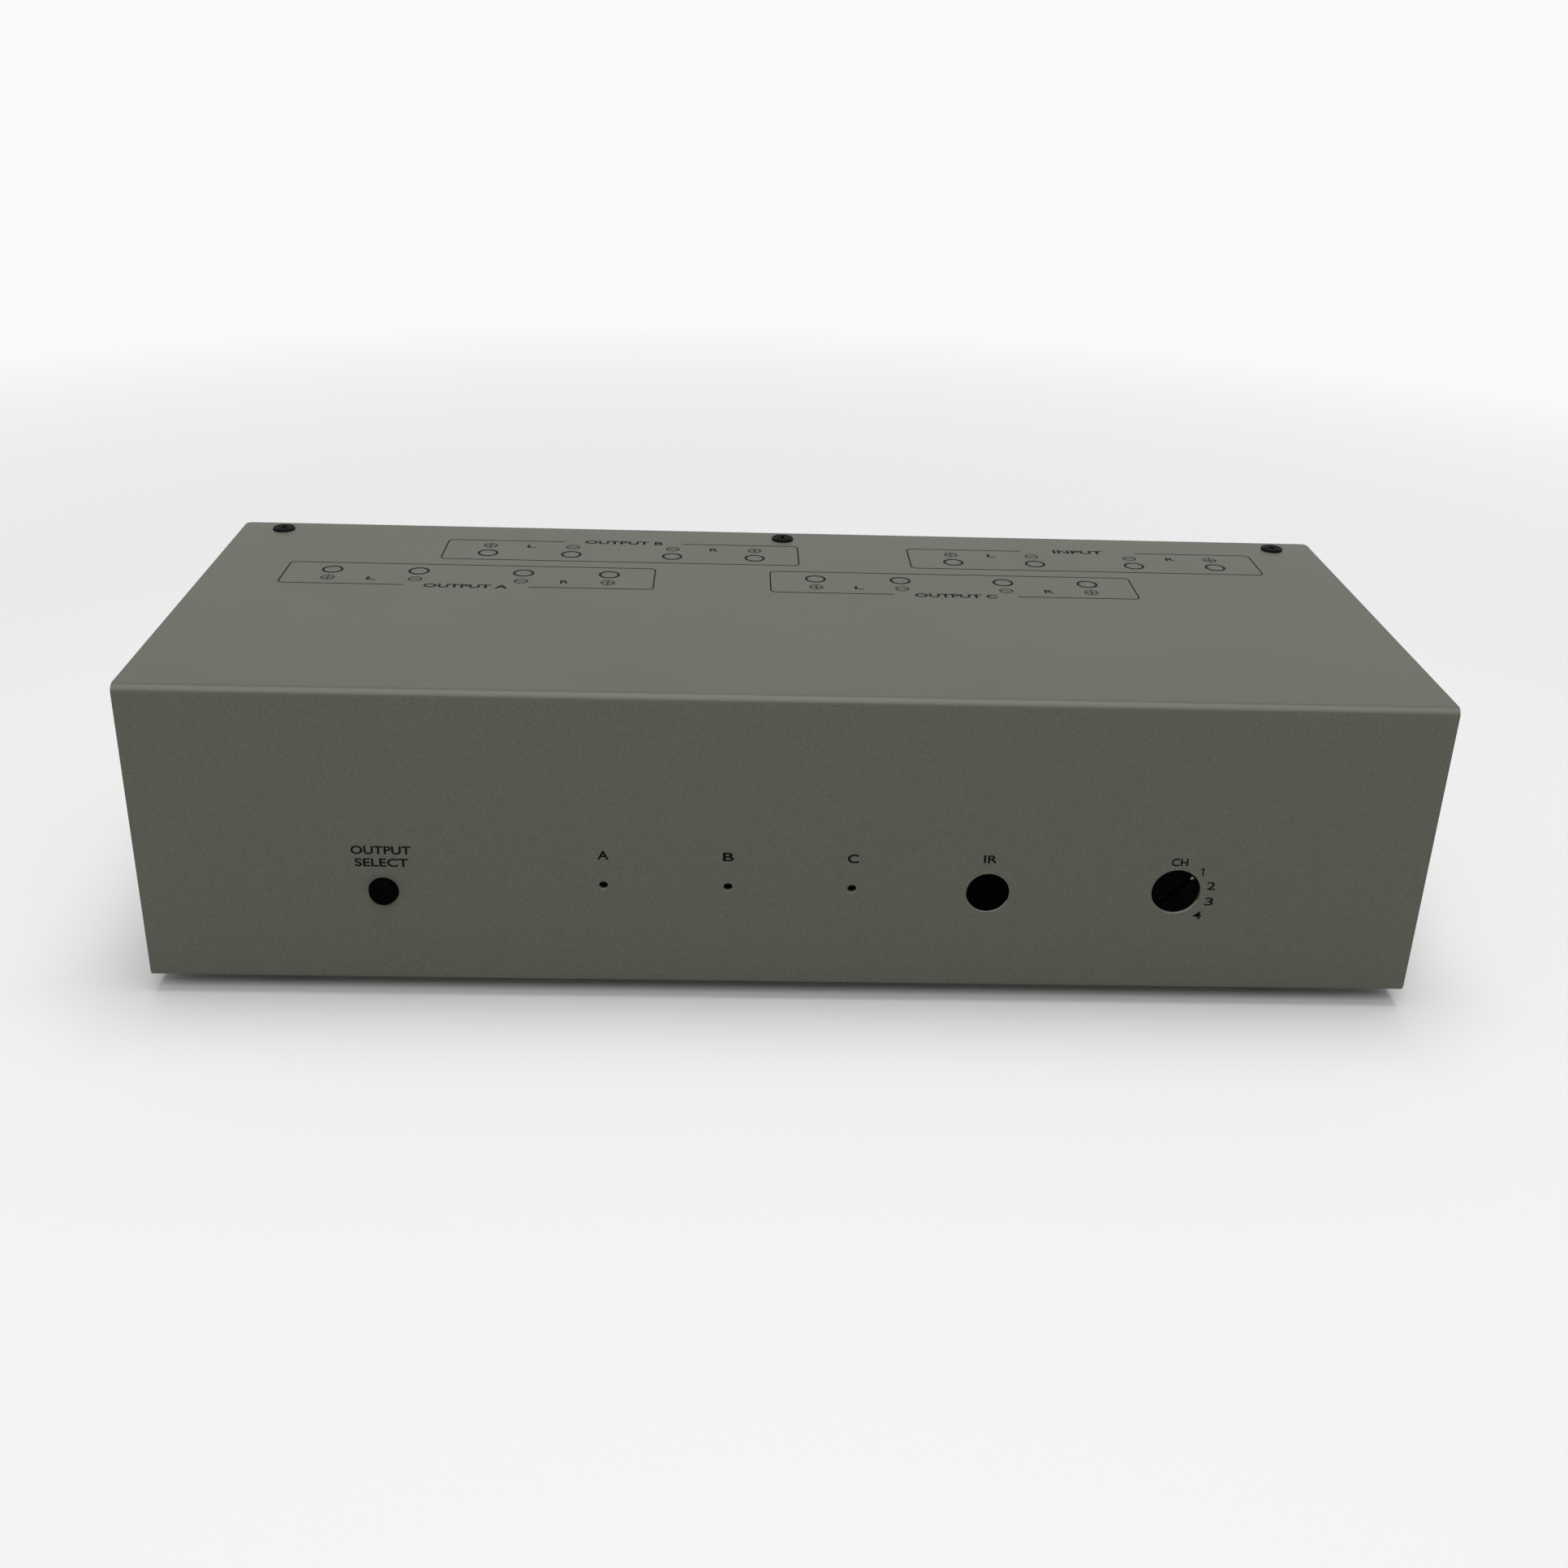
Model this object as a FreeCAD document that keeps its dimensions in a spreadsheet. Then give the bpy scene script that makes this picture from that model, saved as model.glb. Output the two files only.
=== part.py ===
import FreeCAD, Part
import Sketcher
import math
import os
import re

# A free-standing speaker selector: a folded steel case with a push button, lamps and a small
# dial on the front, and four groups of binding posts at the rear. Millimetres, +X right as seen
# from the front, +Y to the rear, +Z up, origin at the middle of the footprint on the surface.

SIZES = {
    # Case
    "case_width": 280.0,
    "case_depth": 112.5,
    "case_height": 69.5,
    "foot_clear": 4.0,
    "wall": 1.2,
    "bend_outside": 1.8,
    "side_set_in": 0.5,
    "rear_set_in": 0.5,
    "front_gap": 0.8,
    "rear_gap": 0.7,
    "side_flange": 8.0,
    "front_return": 12.0,
    "rear_flange": 12.0,
    "flange_gap": 1.0,
    "corner_round": 1.5,
    # Screws and feet
    "screw_radius": 1.5,
    "screw_length": 6.0,
    "head_radius": 2.8,
    "head_height": 0.7,
    "head_crown": 0.3,
    "head_top_radius": 2.2,
    "cross_width": 0.6,
    "cross_span": 2.6,
    "cross_depth": 0.9,
    "thread_fit": 0.05,
    "top_screw_side": 10.8,
    "top_screw_set_in": 5.5,
    "front_screw_side": 30.0,
    "front_screw_set_in": 7.0,
    "rear_screw_side": 20.0,
    "rear_screw_set_in": 6.0,
    "foot_radius": 7.0,
    "foot_side": 16.0,
    "foot_front": 22.0,
    "foot_rear": 19.0,
    "foot_recess_radius": 3.4,
    "foot_recess_depth": 2.6,
    # Front controls, heights from the case bottom
    "hole_gap": 0.3,
    "button_side": 52.5,
    "button_height": 22.45,
    "button_radius": 3.0,
    "button_proud": 1.8,
    "button_edge": 0.5,
    "button_length": 8.3,
    "button_travel": 0.5,
    "stem_radius": 1.75,
    "stem_socket": 4.5,
    "stem_fit": 0.05,
    "stem_guide": 1.0,
    "switch_side": 6.0,
    "switch_depth": 3.5,
    "lamp_height": 24.6,
    "lamp_first_x": -40.0,
    "lamp_pitch": 27.0,
    "lamp_hole_radius": 1.0,
    "lamp_radius": 1.5,
    "lamp_set_back": 1.6,
    "lamp_length": 3.6,
    "lamp_collar": 0.4,
    "lamp_leg": 0.5,
    "lamp_leg_pitch": 2.54,
    "window_x": 43.8,
    "window_height": 24.05,
    "window_radius": 4.7,
    "window_fit": 0.05,
    "window_set_back": 0.3,
    "window_flange_radius": 6.0,
    "window_flange": 1.5,
    "receiver_side": 6.0,
    "receiver_depth": 4.0,
    "receiver_lens_radius": 2.4,
    "receiver_lens": 1.4,
    "dial_side": 54.8,
    "dial_height": 25.0,
    "dial_radius": 5.1,
    "dial_set_back": 0.4,
    "dial_thickness": 3.7,
    "dial_slot_length": 8.0,
    "dial_slot_width": 1.0,
    "dial_slot_depth": 1.2,
    "dial_first_angle": 45.0,
    "dial_shaft_radius": 2.0,
    "dial_shaft_length": 4.0,
    "dial_fit": 0.1,
    "rotary_side": 12.0,
    # Boards
    "board": 1.6,
    "control_board_set_back": 13.0,
    "control_board_low": 10.0,
    "control_board_high": 42.0,
    "control_board_side": 37.0,
    "bracket_high": 34.0,
    "bracket_foot": 10.0,
    "bracket_screw_x": 60.0,
    "pillar_radius": 3.0,
    "pillar_length": 6.0,
    "spigot_radius": 2.0,
    "control_pillar_inset": 5.0,
    "control_pillar_low": 14.0,
    "control_pillar_high": 30.0,
    "main_side": 12.0,
    "main_right": 30.0,
    "main_front": 34.0,
    "main_rear": 84.0,
    "pillar_inset": 4.5,
    "core_inset": 33.0,
    "core_set_back": 56.0,
    "core_width": 42.0,
    "core_height": 35.0,
    "core_stack": 18.0,
    "core_limb": 7.0,
    "coil_gap": 0.3,
    "coil_overhang": 6.5,
    "can_radius": 8.0,
    "can_height": 25.0,
    "can_first_x": -50.0,
    "can_pitch": 22.0,
    "can_set_back": 58.0,
    "ribbon_x": -10.0,
    "ribbon_width": 16.0,
    "ribbon_thickness": 1.0,
    "ribbon_high": 38.0,
    "ribbon_end": 44.0,
    "ribbon_bend": 8.0,
    # Rear posts, measured outwards from the rear panel's outer face
    "post_reach": 22.0,
    "post_inner_offset": 12.7,
    "post_outer_offset": 33.6,
    "post_inner_side": 99.0,
    "post_outer_side": 63.3,
    "upper_row": 48.0,
    "lower_row": 22.0,
    "collar_radius": 8.0,
    "collar_thickness": 4.0,
    "collar_neck_radius": 5.0,
    "collar_neck_fit": 0.1,
    "inner_washer_radius": 7.0,
    "inner_washer": 2.0,
    "stud_radius": 4.0,
    "stud_neck_radius": 3.0,
    "stud_flange_radius": 6.0,
    "stud_flange": 2.0,
    "stud_fit": 0.05,
    "socket_radius": 2.0,
    "socket_depth": 18.0,
    "wire_hole_radius": 1.5,
    "wire_hole_at": 8.5,
    "washer_radius": 7.0,
    "washer_thickness": 1.5,
    "cap_radius": 7.5,
    "cap_length": 14.0,
    "cap_edge": 1.0,
    "cap_fit": 0.08,
    "flute_radius": 1.0,
    "flute_circle": 7.9,
    "nut_across_flats": 10.0,
    "nut_thickness": 4.0,
    "tail_pin_radius": 1.4,
    "tail_pin_length": 3.5,
    "relay_board_set_in": 12.0,
    "relay_board_side": 22.0,
    "relay_board_low": 12.0,
    "relay_board_high": 60.0,
    "relay_width": 29.0,
    "relay_depth": 15.7,
    "relay_height": 12.7,
    "relay_edge": 18.0,
    "relay_middle": 35.0,
    "notch_reach": 22.0,
    "notch_high": 28.5,
    # Mains inlet
    "inlet_side": 32.0,
    "inlet_height": 20.0,
    "inlet_flange_width": 40.0,
    "inlet_flange_height": 20.0,
    "inlet_flange": 2.0,
    "inlet_width": 21.0,
    "inlet_body_height": 13.0,
    "inlet_depth": 16.0,
    "inlet_fit": 0.2,
    "inlet_cavity_width": 17.5,
    "inlet_cavity_height": 9.5,
    "inlet_cavity_depth": 13.0,
    "inlet_pin_radius": 1.2,
    "inlet_pin_pitch": 8.6,
    "inlet_pin_length": 9.0,
    "inlet_screw_offset": 15.0,
    "lead_radius": 1.2,
    "lead_pitch": 8.0,
    "lead_bend": 7.0,
    "lead_end": 76.0,
}
# Places that keep their distance from the case's side walls, as formulas of the sizes
PLACES = {
    "top_screw_x": "case_width / 2 - top_screw_side",
    "front_screw_x": "case_width / 2 - front_screw_side",
    "rear_screw_x": "case_width / 2 - rear_screw_side",
    "foot_x": "case_width / 2 - foot_side",
    "button_x": "button_side - case_width / 2",
    "dial_x": "case_width / 2 - dial_side",
    "control_half_width": "case_width / 2 - control_board_side",
    "control_pillar_x": "control_half_width - control_pillar_inset",
    "main_left": "main_side - case_width / 2",
    "core_x": "main_left + core_inset",
    "post_group_inner": "case_width / 2 - post_inner_side",
    "post_group_outer": "case_width / 2 - post_outer_side",
    "relay_board_half_width": "case_width / 2 - relay_board_side",
    "inlet_x": "inlet_side - case_width / 2",
    "notch_right": "inlet_x + notch_reach",
}
FLUTES = 12
LAMPS = 3
CANS = 2
RELAYS = 6
TOLERANCE = 1e-4

# Planes that many pieces share, as formulas of the sizes
BASE = "foot_clear"
ROOF = "(foot_clear + case_height)"
FRONT = "(button_proud - (button_proud + case_depth - rear_set_in + post_reach) / 2)"
BACK = f"({FRONT} + case_depth)"
PANEL = f"({BACK} - rear_set_in)"
TRAY_UNDER = f"({BASE} + wall)"
TRAY_TOP = f"({BASE} + 2 * wall)"
FLANGE_TOP = f"({ROOF} - wall)"
TRAY_HALF = "(case_width / 2 - side_set_in)"
BOARD_FACE = f"({FRONT} + control_board_set_back)"
BRACKET_FACE = f"({BOARD_FACE} + board + pillar_length)"
MAIN_TOP = f"({TRAY_TOP} + pillar_length + board)"
RELAY_FACE = f"({PANEL} - relay_board_set_in - board)"
WASHER_SEAT = f"({PANEL} + collar_thickness + stud_flange)"
CAP_SEAT = f"({WASHER_SEAT} + washer_thickness)"
INLET_Z = f"({BASE} + inlet_height)"

# Each post: its name, its group's middle, its offset in the group and its row
POST_GROUPS = [
    ("a", "-post_group_outer", "upper_row"),
    ("b", "-post_group_inner", "lower_row"),
    ("c", "post_group_inner", "upper_row"),
    ("input", "post_group_outer", "lower_row"),
]
POST_OFFSETS = [
    ("left_plus", "-post_outer_offset"),
    ("left_minus", "-post_inner_offset"),
    ("right_minus", "post_inner_offset"),
    ("right_plus", "post_outer_offset"),
]
POSTS = [
    (f"{group}_{side}", f"({middle} + {offset})", f"({BASE} + {row})")
    for group, middle, row in POST_GROUPS
    for side, offset in POST_OFFSETS
]

# The ways that a cylinder or a screw can point
TURNS = {
    "+Z": FreeCAD.Rotation(),
    "-Z": FreeCAD.Rotation(FreeCAD.Vector(1, 0, 0), 180),
    "+Y": FreeCAD.Rotation(FreeCAD.Vector(1, 0, 0), -90),
    "-Y": FreeCAD.Rotation(FreeCAD.Vector(1, 0, 0), 90),
}

doc = FreeCAD.newDocument("speaker_selector")
sheet = doc.addObject("Spreadsheet::Sheet", "sizes")
cells = {**SIZES, **{place: f"={formula}" for place, formula in PLACES.items()}}
for row, (alias, content) in enumerate(cells.items(), start=1):
    sheet.set(f"A{row}", alias)
    sheet.set(f"B{row}", str(content))
    sheet.setAlias(f"B{row}", alias)
doc.recompute()
WORDS = re.compile(r"\b(" + "|".join(sorted(cells, key=len, reverse=True)) + r")\b")
NODES = []


def bound(formula):
    """The formula with each size name pointing at its cell."""
    return WORDS.sub(r"sizes.\1", str(formula))


def bind(item, **formulas):
    for place, formula in formulas.items():
        item.setExpression(place.replace("__", "."), bound(formula))


def number(formula):
    return float(sheet.evalExpression(bound(formula)))


def put(item, x, y, z):
    bind(item, Placement__Base__x=x, Placement__Base__y=y, Placement__Base__z=z)


def node(item, label):
    """Mark an item as one finished piece, with its name."""
    item.Label = label
    NODES.append(item)
    return item


def block(x, y, z, width, depth, height):
    """A box from its low corner."""
    item = doc.addObject("Part::Box", "block")
    bind(item, Length=width, Width=depth, Height=height)
    put(item, x, y, z)
    return item


def centred_block(x, y, z, width, depth, height):
    """A box with its middle at x and z, and its front at y."""
    return block(f"{x} - {width} / 2", y, f"{z} - {height} / 2", width, depth, height)


def rod(x, y, z, radius, length, way="+Y"):
    item = doc.addObject("Part::Cylinder", "rod")
    item.Placement.Rotation = TURNS[way]
    bind(item, Radius=radius, Height=length)
    put(item, x, y, z)
    return item


def cone(x, y, z, first_radius, last_radius, length, way="+Y"):
    item = doc.addObject("Part::Cone", "cone")
    item.Placement.Rotation = TURNS[way]
    bind(item, Radius1=first_radius, Radius2=last_radius, Height=length)
    put(item, x, y, z)
    return item


def joined(items):
    item = doc.addObject("Part::MultiFuse", "joined")
    item.Shapes = items
    item.Refine = True
    return item


def cut(base, tools):
    """The base less every tool."""
    item = doc.addObject("Part::Cut", "cut")
    item.Base = base
    item.Tool = tools[0] if len(tools) == 1 else group(tools)
    return item


def group(items):
    """Separate solids kept together."""
    item = doc.addObject("Part::Compound", "group")
    item.Links = items
    return item


def profile_body(label, plane, corners, length, rounds, reverse=False):
    """A body padded from an outline of corner formulas, with its bends rounded."""
    body = doc.addObject("PartDesign::Body", label)
    sketch = body.newObject("Sketcher::SketchObject", f"{label}_outline")
    origin_plane = [f for f in body.Origin.OriginFeatures if f.Role == plane][0]
    sketch.AttachmentSupport = [(origin_plane, "")]
    sketch.MapMode = "FlatFace"
    points = [FreeCAD.Vector(number(u), number(v), 0) for u, v in corners]
    for i, point in enumerate(points):
        sketch.addGeometry(Part.LineSegment(point, points[(i + 1) % len(points)]), False)
    for i in range(len(points)):
        nearest = (i + 1) % len(points)
        sketch.addConstraint(Sketcher.Constraint("Coincident", i, 2, nearest, 1))
    for i, (u, v) in enumerate(corners):
        for kind, formula in (("DistanceX", u), ("DistanceY", v)):
            index = sketch.addConstraint(Sketcher.Constraint(kind, -1, 1, i, 1, number(formula)))
            sketch.setExpression(f"Constraints[{index}]", bound(formula))
    pad = body.newObject("PartDesign::Pad", f"{label}_pad")
    pad.Profile = sketch
    pad.Reversed = reverse
    if plane == "YZ_Plane":
        pad.SideType = "Symmetric"
    bind(pad, Length=length)
    doc.recompute()
    last = pad
    for radius in sorted({r for _, _, r in rounds}):
        spots = [(number(u), number(v)) for u, v, r in rounds if r == radius]
        bend = body.newObject("PartDesign::Fillet", f"{label}_bend")
        bend.Base = (last, edges_at(last.Shape, plane, spots))
        bind(bend, Radius=radius)
        body.Tip = bend
        doc.recompute()
        last = bend
    return body


def edges_at(shape, plane, spots):
    """The long edges that stand on the outline's given corners."""
    names = []
    for i, edge in enumerate(shape.Edges, start=1):
        ends = [v.Point for v in edge.Vertexes]
        flat = [(p.y, p.z) if plane == "YZ_Plane" else (p.x, p.z) for p in ends]
        for u, v in spots:
            if len(flat) == 2 and all(math.hypot(a - u, b - v) < TOLERANCE for a, b in flat):
                names.append(f"Edge{i}")
    return names


TOP_SCREW_X = ["-top_screw_x", "0", "top_screw_x"]
FRONT_SCREW_X = ["-front_screw_x", "front_screw_x"]
REAR_SCREW_X = ["-rear_screw_x", "rear_screw_x"]
BRACKET_SCREW_X = ["-bracket_screw_x", "bracket_screw_x"]
BRACKET_SCREW_Y = f"({BRACKET_FACE} + wall + bracket_foot / 2)"
INLET_SCREW_X = ["(inlet_x - inlet_screw_offset)", "(inlet_x + inlet_screw_offset)"]
FEET = [
    (x, y)
    for x in ("-foot_x", "foot_x")
    for y in (f"({FRONT} + foot_front)", f"({BACK} - foot_rear)")
]
CONTROL_PILLARS = [
    (x, f"({BASE} + {z})")
    for x in ("-control_pillar_x", "control_pillar_x")
    for z in ("control_pillar_low", "control_pillar_high")
]
MAIN_PILLARS = [
    (x, f"({FRONT} + {y})")
    for x in ("(main_left + pillar_inset)", "(main_right - pillar_inset)")
    for y in ("(main_front + pillar_inset)", "(main_rear - pillar_inset)")
]


def screw_places():
    """Each screw: its head's seat and the way its shank points."""
    places = [(x, f"{BACK} - top_screw_set_in", ROOF, "-Z") for x in TOP_SCREW_X]
    places += [(x, f"{FRONT} + front_screw_set_in", BASE, "+Z") for x in FRONT_SCREW_X]
    places += [(x, f"{PANEL} - rear_screw_set_in", TRAY_UNDER, "+Z") for x in REAR_SCREW_X]
    places += [(x, y, "foot_recess_depth", "+Z") for x, y in FEET]
    places += [(x, BRACKET_SCREW_Y, TRAY_UNDER, "+Z") for x in BRACKET_SCREW_X]
    places += [(x, BOARD_FACE, z, "+Y") for x, z in CONTROL_PILLARS]
    places += [(x, y, MAIN_TOP, "-Z") for x, y in MAIN_PILLARS]
    places += [(x, f"{PANEL} + inlet_flange", INLET_Z, "-Y") for x in INLET_SCREW_X]
    return places


def screw_hole(x, y, z, way):
    return rod(x, y, z, "screw_radius + thread_fit", "screw_length + wall", way)


def holes_for(wanted):
    """Tools for the screws whose place passes a test."""
    return [screw_hole(*place) for place in screw_places() if wanted(place)]


def screw(x, y, z, way):
    """A thin pan-head screw with a cross recess, head towards the way opposite its shank."""
    head_way = {"+Z": "-Z", "-Z": "+Z", "+Y": "-Y", "-Y": "+Y"}[way]
    rim = "(head_height - head_crown)"
    sign = "-" if way[0] == "+" else "+"
    crown_place = {"Y": (x, f"{y} {sign} {rim}", z), "Z": (x, y, f"{z} {sign} {rim}")}[way[1]]
    head = rod(x, y, z, "head_radius", rim, head_way)
    crown = cone(*crown_place, "head_radius", "head_top_radius", "head_crown", head_way)
    shank = rod(x, y, z, "screw_radius", "screw_length", way)
    return cut(joined([head, crown, shank]), cross_recess(x, y, z, way))


def cross_recess(x, y, z, way):
    """Two crossed bars that reach into the head from its top."""
    outward = "-" if way[0] == "+" else "+"
    bars = []
    for spans in (("cross_span", "cross_width"), ("cross_width", "cross_span")):
        bar = doc.addObject("Part::Box", "bar")
        across, along = spans
        start = "head_height - cross_depth" if outward == "+" else "-head_height"
        if way[1] == "Z":
            bind(bar, Length=across, Width=along, Height="cross_depth")
            put(bar, f"{x} - {across} / 2", f"{y} - {along} / 2", f"{z} + {start}")
        else:
            bind(bar, Length=across, Width="cross_depth", Height=along)
            put(bar, f"{x} - {across} / 2", f"{y} + {start}", f"{z} - {along} / 2")
        bars.append(bar)
    return bars


def front_top_cover():
    inner_front = f"({FRONT} + wall)"
    corners = [
        (f"{FRONT} + front_return", BASE),
        (FRONT, BASE),
        (FRONT, ROOF),
        (BACK, ROOF),
        (BACK, FLANGE_TOP),
        (inner_front, FLANGE_TOP),
        (inner_front, TRAY_UNDER),
        (f"{FRONT} + front_return", TRAY_UNDER),
    ]
    inside = "bend_outside - wall"
    rounds = [
        (FRONT, BASE, "bend_outside"),
        (FRONT, ROOF, "bend_outside"),
        (inner_front, FLANGE_TOP, inside),
        (inner_front, TRAY_UNDER, inside),
    ]
    body = profile_body("cover_sheet", "YZ_Plane", corners, "case_width", rounds)
    body = rounded_rear_corners(body)
    start = f"{FRONT} - wall"
    through = "3 * wall"
    tools = [
        rod("button_x", start, f"{BASE} + button_height", "button_radius + hole_gap", through),
        rod("window_x", start, f"{BASE} + window_height", "window_radius + window_fit", through),
        rod("dial_x", start, f"{BASE} + dial_height", "dial_radius + hole_gap", through),
    ]
    for i in range(LAMPS):
        tools.append(rod(lamp_x(i), start, f"{BASE} + lamp_height", "lamp_hole_radius", through))
    tools += holes_for(lambda place: place[2] in (ROOF, BASE))
    node(cut(body, tools), "front_top_cover")


def rounded_rear_corners(body):
    """The cover with the two rear corners of its top rounded, by a rounded block around it."""
    reach = "2 * case_height"
    keep = block("-case_width / 2", f"{FRONT} - wall", "-case_height", "case_width",
                 f"{BACK} - {FRONT} + wall", f"2 * {reach}")
    doc.recompute()
    rounded = doc.addObject("Part::Fillet", "rear_corners")
    rounded.Base = keep
    back, half = number(BACK), number("case_width / 2")
    radius = number("corner_round")
    chosen = []
    for i, edge in enumerate(keep.Shape.Edges, start=1):
        middle = edge.CenterOfMass
        beside = abs(abs(middle.x) - half) < TOLERANCE
        behind = abs(middle.y - back) < TOLERANCE
        if beside and behind:
            chosen.append((i, radius, radius))
    rounded.Edges = chosen
    common = doc.addObject("Part::MultiCommon", "cover_trimmed")
    common.Shapes = [body, rounded]
    return common


def lamp_x(i):
    return f"(lamp_first_x + {i} * lamp_pitch)"


def base_tray():
    half, inner = TRAY_HALF, f"({TRAY_HALF} - wall)"
    lip = f"({TRAY_HALF} - side_flange)"
    lip_under = f"({FLANGE_TOP} - wall)"
    right = [
        (half, TRAY_UNDER),
        (half, FLANGE_TOP),
        (lip, FLANGE_TOP),
        (lip, lip_under),
        (inner, lip_under),
        (inner, TRAY_TOP),
    ]
    left = [(f"-{u}", v) for u, v in reversed(right)]
    inside = "bend_outside - wall"
    rounds = []
    for side in ("", "-"):
        rounds += [
            (f"{side}{half}", TRAY_UNDER, "bend_outside"),
            (f"{side}{half}", FLANGE_TOP, "bend_outside"),
            (f"{side}{inner}", TRAY_TOP, inside),
            (f"{side}{inner}", lip_under, inside),
        ]
    start = f"({FRONT} + wall + front_gap)"
    body = profile_body("tray_sheet", "XZ_Plane", right + left, f"{PANEL} - {start}", rounds, True)
    bind(body, Placement__Base__y=start)
    rear_cut = f"({PANEL} - rear_flange - flange_gap)"
    tools = [
        block(x, rear_cut, lip_under, "side_flange - wall", f"{PANEL} - {rear_cut}", "wall")
        for x in (f"-{inner}", lip)
    ]
    tools += holes_for(lambda place: place[3] == "+Z")
    tools += [rod(x, y, TRAY_UNDER, "spigot_radius + thread_fit", "wall", "+Z") for x, y in MAIN_PILLARS]
    node(cut(body, tools), "base_tray")


def rear_panel():
    inner = f"({PANEL} - wall)"
    edge = f"({PANEL} - rear_flange)"
    corners = [
        (edge, TRAY_TOP),
        (PANEL, TRAY_TOP),
        (PANEL, FLANGE_TOP),
        (edge, FLANGE_TOP),
        (edge, f"{FLANGE_TOP} - wall"),
        (inner, f"{FLANGE_TOP} - wall"),
        (inner, f"{TRAY_TOP} + wall"),
        (edge, f"{TRAY_TOP} + wall"),
    ]
    inside = "bend_outside - wall"
    rounds = [
        (PANEL, TRAY_TOP, "bend_outside"),
        (PANEL, FLANGE_TOP, "bend_outside"),
        (inner, f"{FLANGE_TOP} - wall", inside),
        (inner, f"{TRAY_TOP} + wall", inside),
    ]
    width = f"2 * ({TRAY_HALF} - wall - rear_gap)"
    body = profile_body("rear_sheet", "YZ_Plane", corners, width, rounds)
    start = f"{PANEL} - 2 * wall"
    through = "3 * wall"
    neck = "collar_neck_radius + collar_neck_fit"
    tools = [rod(x, start, z, neck, through) for _, x, z in POSTS]
    tools.append(centred_block("inlet_x", start, INLET_Z, "(inlet_width + 2 * inlet_fit)", through,
                               "(inlet_body_height + 2 * inlet_fit)"))
    rear_screws = [f"{BACK} - top_screw_set_in", f"{PANEL} - rear_screw_set_in"]
    tools += holes_for(lambda place: place[1] in rear_screws or place[3] == "-Y")
    node(cut(body, tools), "rear_panel")


def pan_head_screws():
    node(group([screw(*place) for place in screw_places()]), "pan_head_screws")


def rubber_feet():
    feet = []
    for x, y in FEET:
        foot = rod(x, y, "0", "foot_radius", TRAY_UNDER, "+Z")
        recess = rod(x, y, "0", "foot_recess_radius", "foot_recess_depth", "+Z")
        hole = rod(x, y, "0", "screw_radius + thread_fit", TRAY_UNDER, "+Z")
        feet.append(cut(foot, [recess, hole]))
    node(group(feet), "rubber_feet")


def control_bracket():
    rear = f"({BRACKET_FACE} + wall)"
    toe = f"({rear} + bracket_foot)"
    high = f"({BASE} + bracket_high)"
    corners = [
        (BRACKET_FACE, TRAY_TOP),
        (toe, TRAY_TOP),
        (toe, f"{TRAY_TOP} + wall"),
        (rear, f"{TRAY_TOP} + wall"),
        (rear, high),
        (BRACKET_FACE, high),
    ]
    rounds = [
        (BRACKET_FACE, TRAY_TOP, "bend_outside"),
        (rear, f"{TRAY_TOP} + wall", "bend_outside - wall"),
    ]
    body = profile_body("bracket_sheet", "YZ_Plane", corners, "2 * control_half_width", rounds)
    hole = "spigot_radius + thread_fit"
    tools = [rod(x, BRACKET_FACE, z, hole, "wall") for x, z in CONTROL_PILLARS]
    tools += holes_for(lambda place: place[1] == BRACKET_SCREW_Y)
    node(cut(body, tools), "control_bracket")


def control_board():
    plate = block("-control_half_width", BOARD_FACE, f"{BASE} + control_board_low",
                  "2 * control_half_width", "board", "control_board_high - control_board_low")
    tools = holes_for(lambda place: place[3] == "+Y")
    node(cut(plate, tools), "control_board")


def status_leds():
    lamps = []
    for i in range(LAMPS):
        x, z = lamp_x(i), f"({BASE} + lamp_height)"
        tip = f"({FRONT} + wall + lamp_set_back)"
        rim = f"({tip} + lamp_length)"
        dome = doc.addObject("Part::Sphere", "dome")
        bind(dome, Radius="lamp_radius")
        put(dome, x, tip, z)
        parts = [
            dome,
            rod(x, tip, z, "lamp_radius", "lamp_length"),
            rod(x, rim, z, "lamp_radius + lamp_collar", "wall"),
        ]
        for side in ("-", "+"):
            leg_x = f"({x} {side} lamp_leg_pitch / 2)"
            start = f"({rim} + wall)"
            parts.append(centred_block(leg_x, start, z, "lamp_leg", f"{BOARD_FACE} - {start}",
                                       "lamp_leg"))
        lamps.append(joined(parts))
    node(group(lamps), "status_leds")


def receiver_window():
    z = f"({BASE} + window_height)"
    pane = rod("window_x", f"{FRONT} + window_set_back", z, "window_radius",
               "wall - window_set_back")
    flange = rod("window_x", f"{FRONT} + wall", z, "window_flange_radius", "window_flange")
    node(joined([pane, flange]), "receiver_window")


def infrared_receiver():
    z = f"({BASE} + window_height)"
    case = centred_block("window_x", f"({BOARD_FACE} - receiver_depth)", z, "receiver_side",
                         "receiver_depth", "(receiver_side + lamp_leg)")
    lens = rod("window_x", f"{BOARD_FACE} - receiver_depth - receiver_lens", z,
               "receiver_lens_radius", "receiver_lens")
    node(joined([case, lens]), "infrared_receiver")


BUTTON_Z = f"({BASE} + button_height)"
BUTTON_FACE = f"({FRONT} - button_proud)"
SWITCH_FACE = f"({BOARD_FACE} - switch_depth)"
STEM_START = f"({BUTTON_FACE} + button_length - stem_socket)"


def select_button():
    crown = cone("button_x", BUTTON_FACE, BUTTON_Z, "button_radius - button_edge",
                 "button_radius", "button_edge")
    shaft = rod("button_x", f"{BUTTON_FACE} + button_edge", BUTTON_Z, "button_radius",
                "button_length - button_edge")
    socket = rod("button_x", STEM_START, BUTTON_Z, "stem_radius + stem_fit", "stem_socket")
    node(cut(joined([crown, shaft]), [socket]), "select_button")


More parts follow.
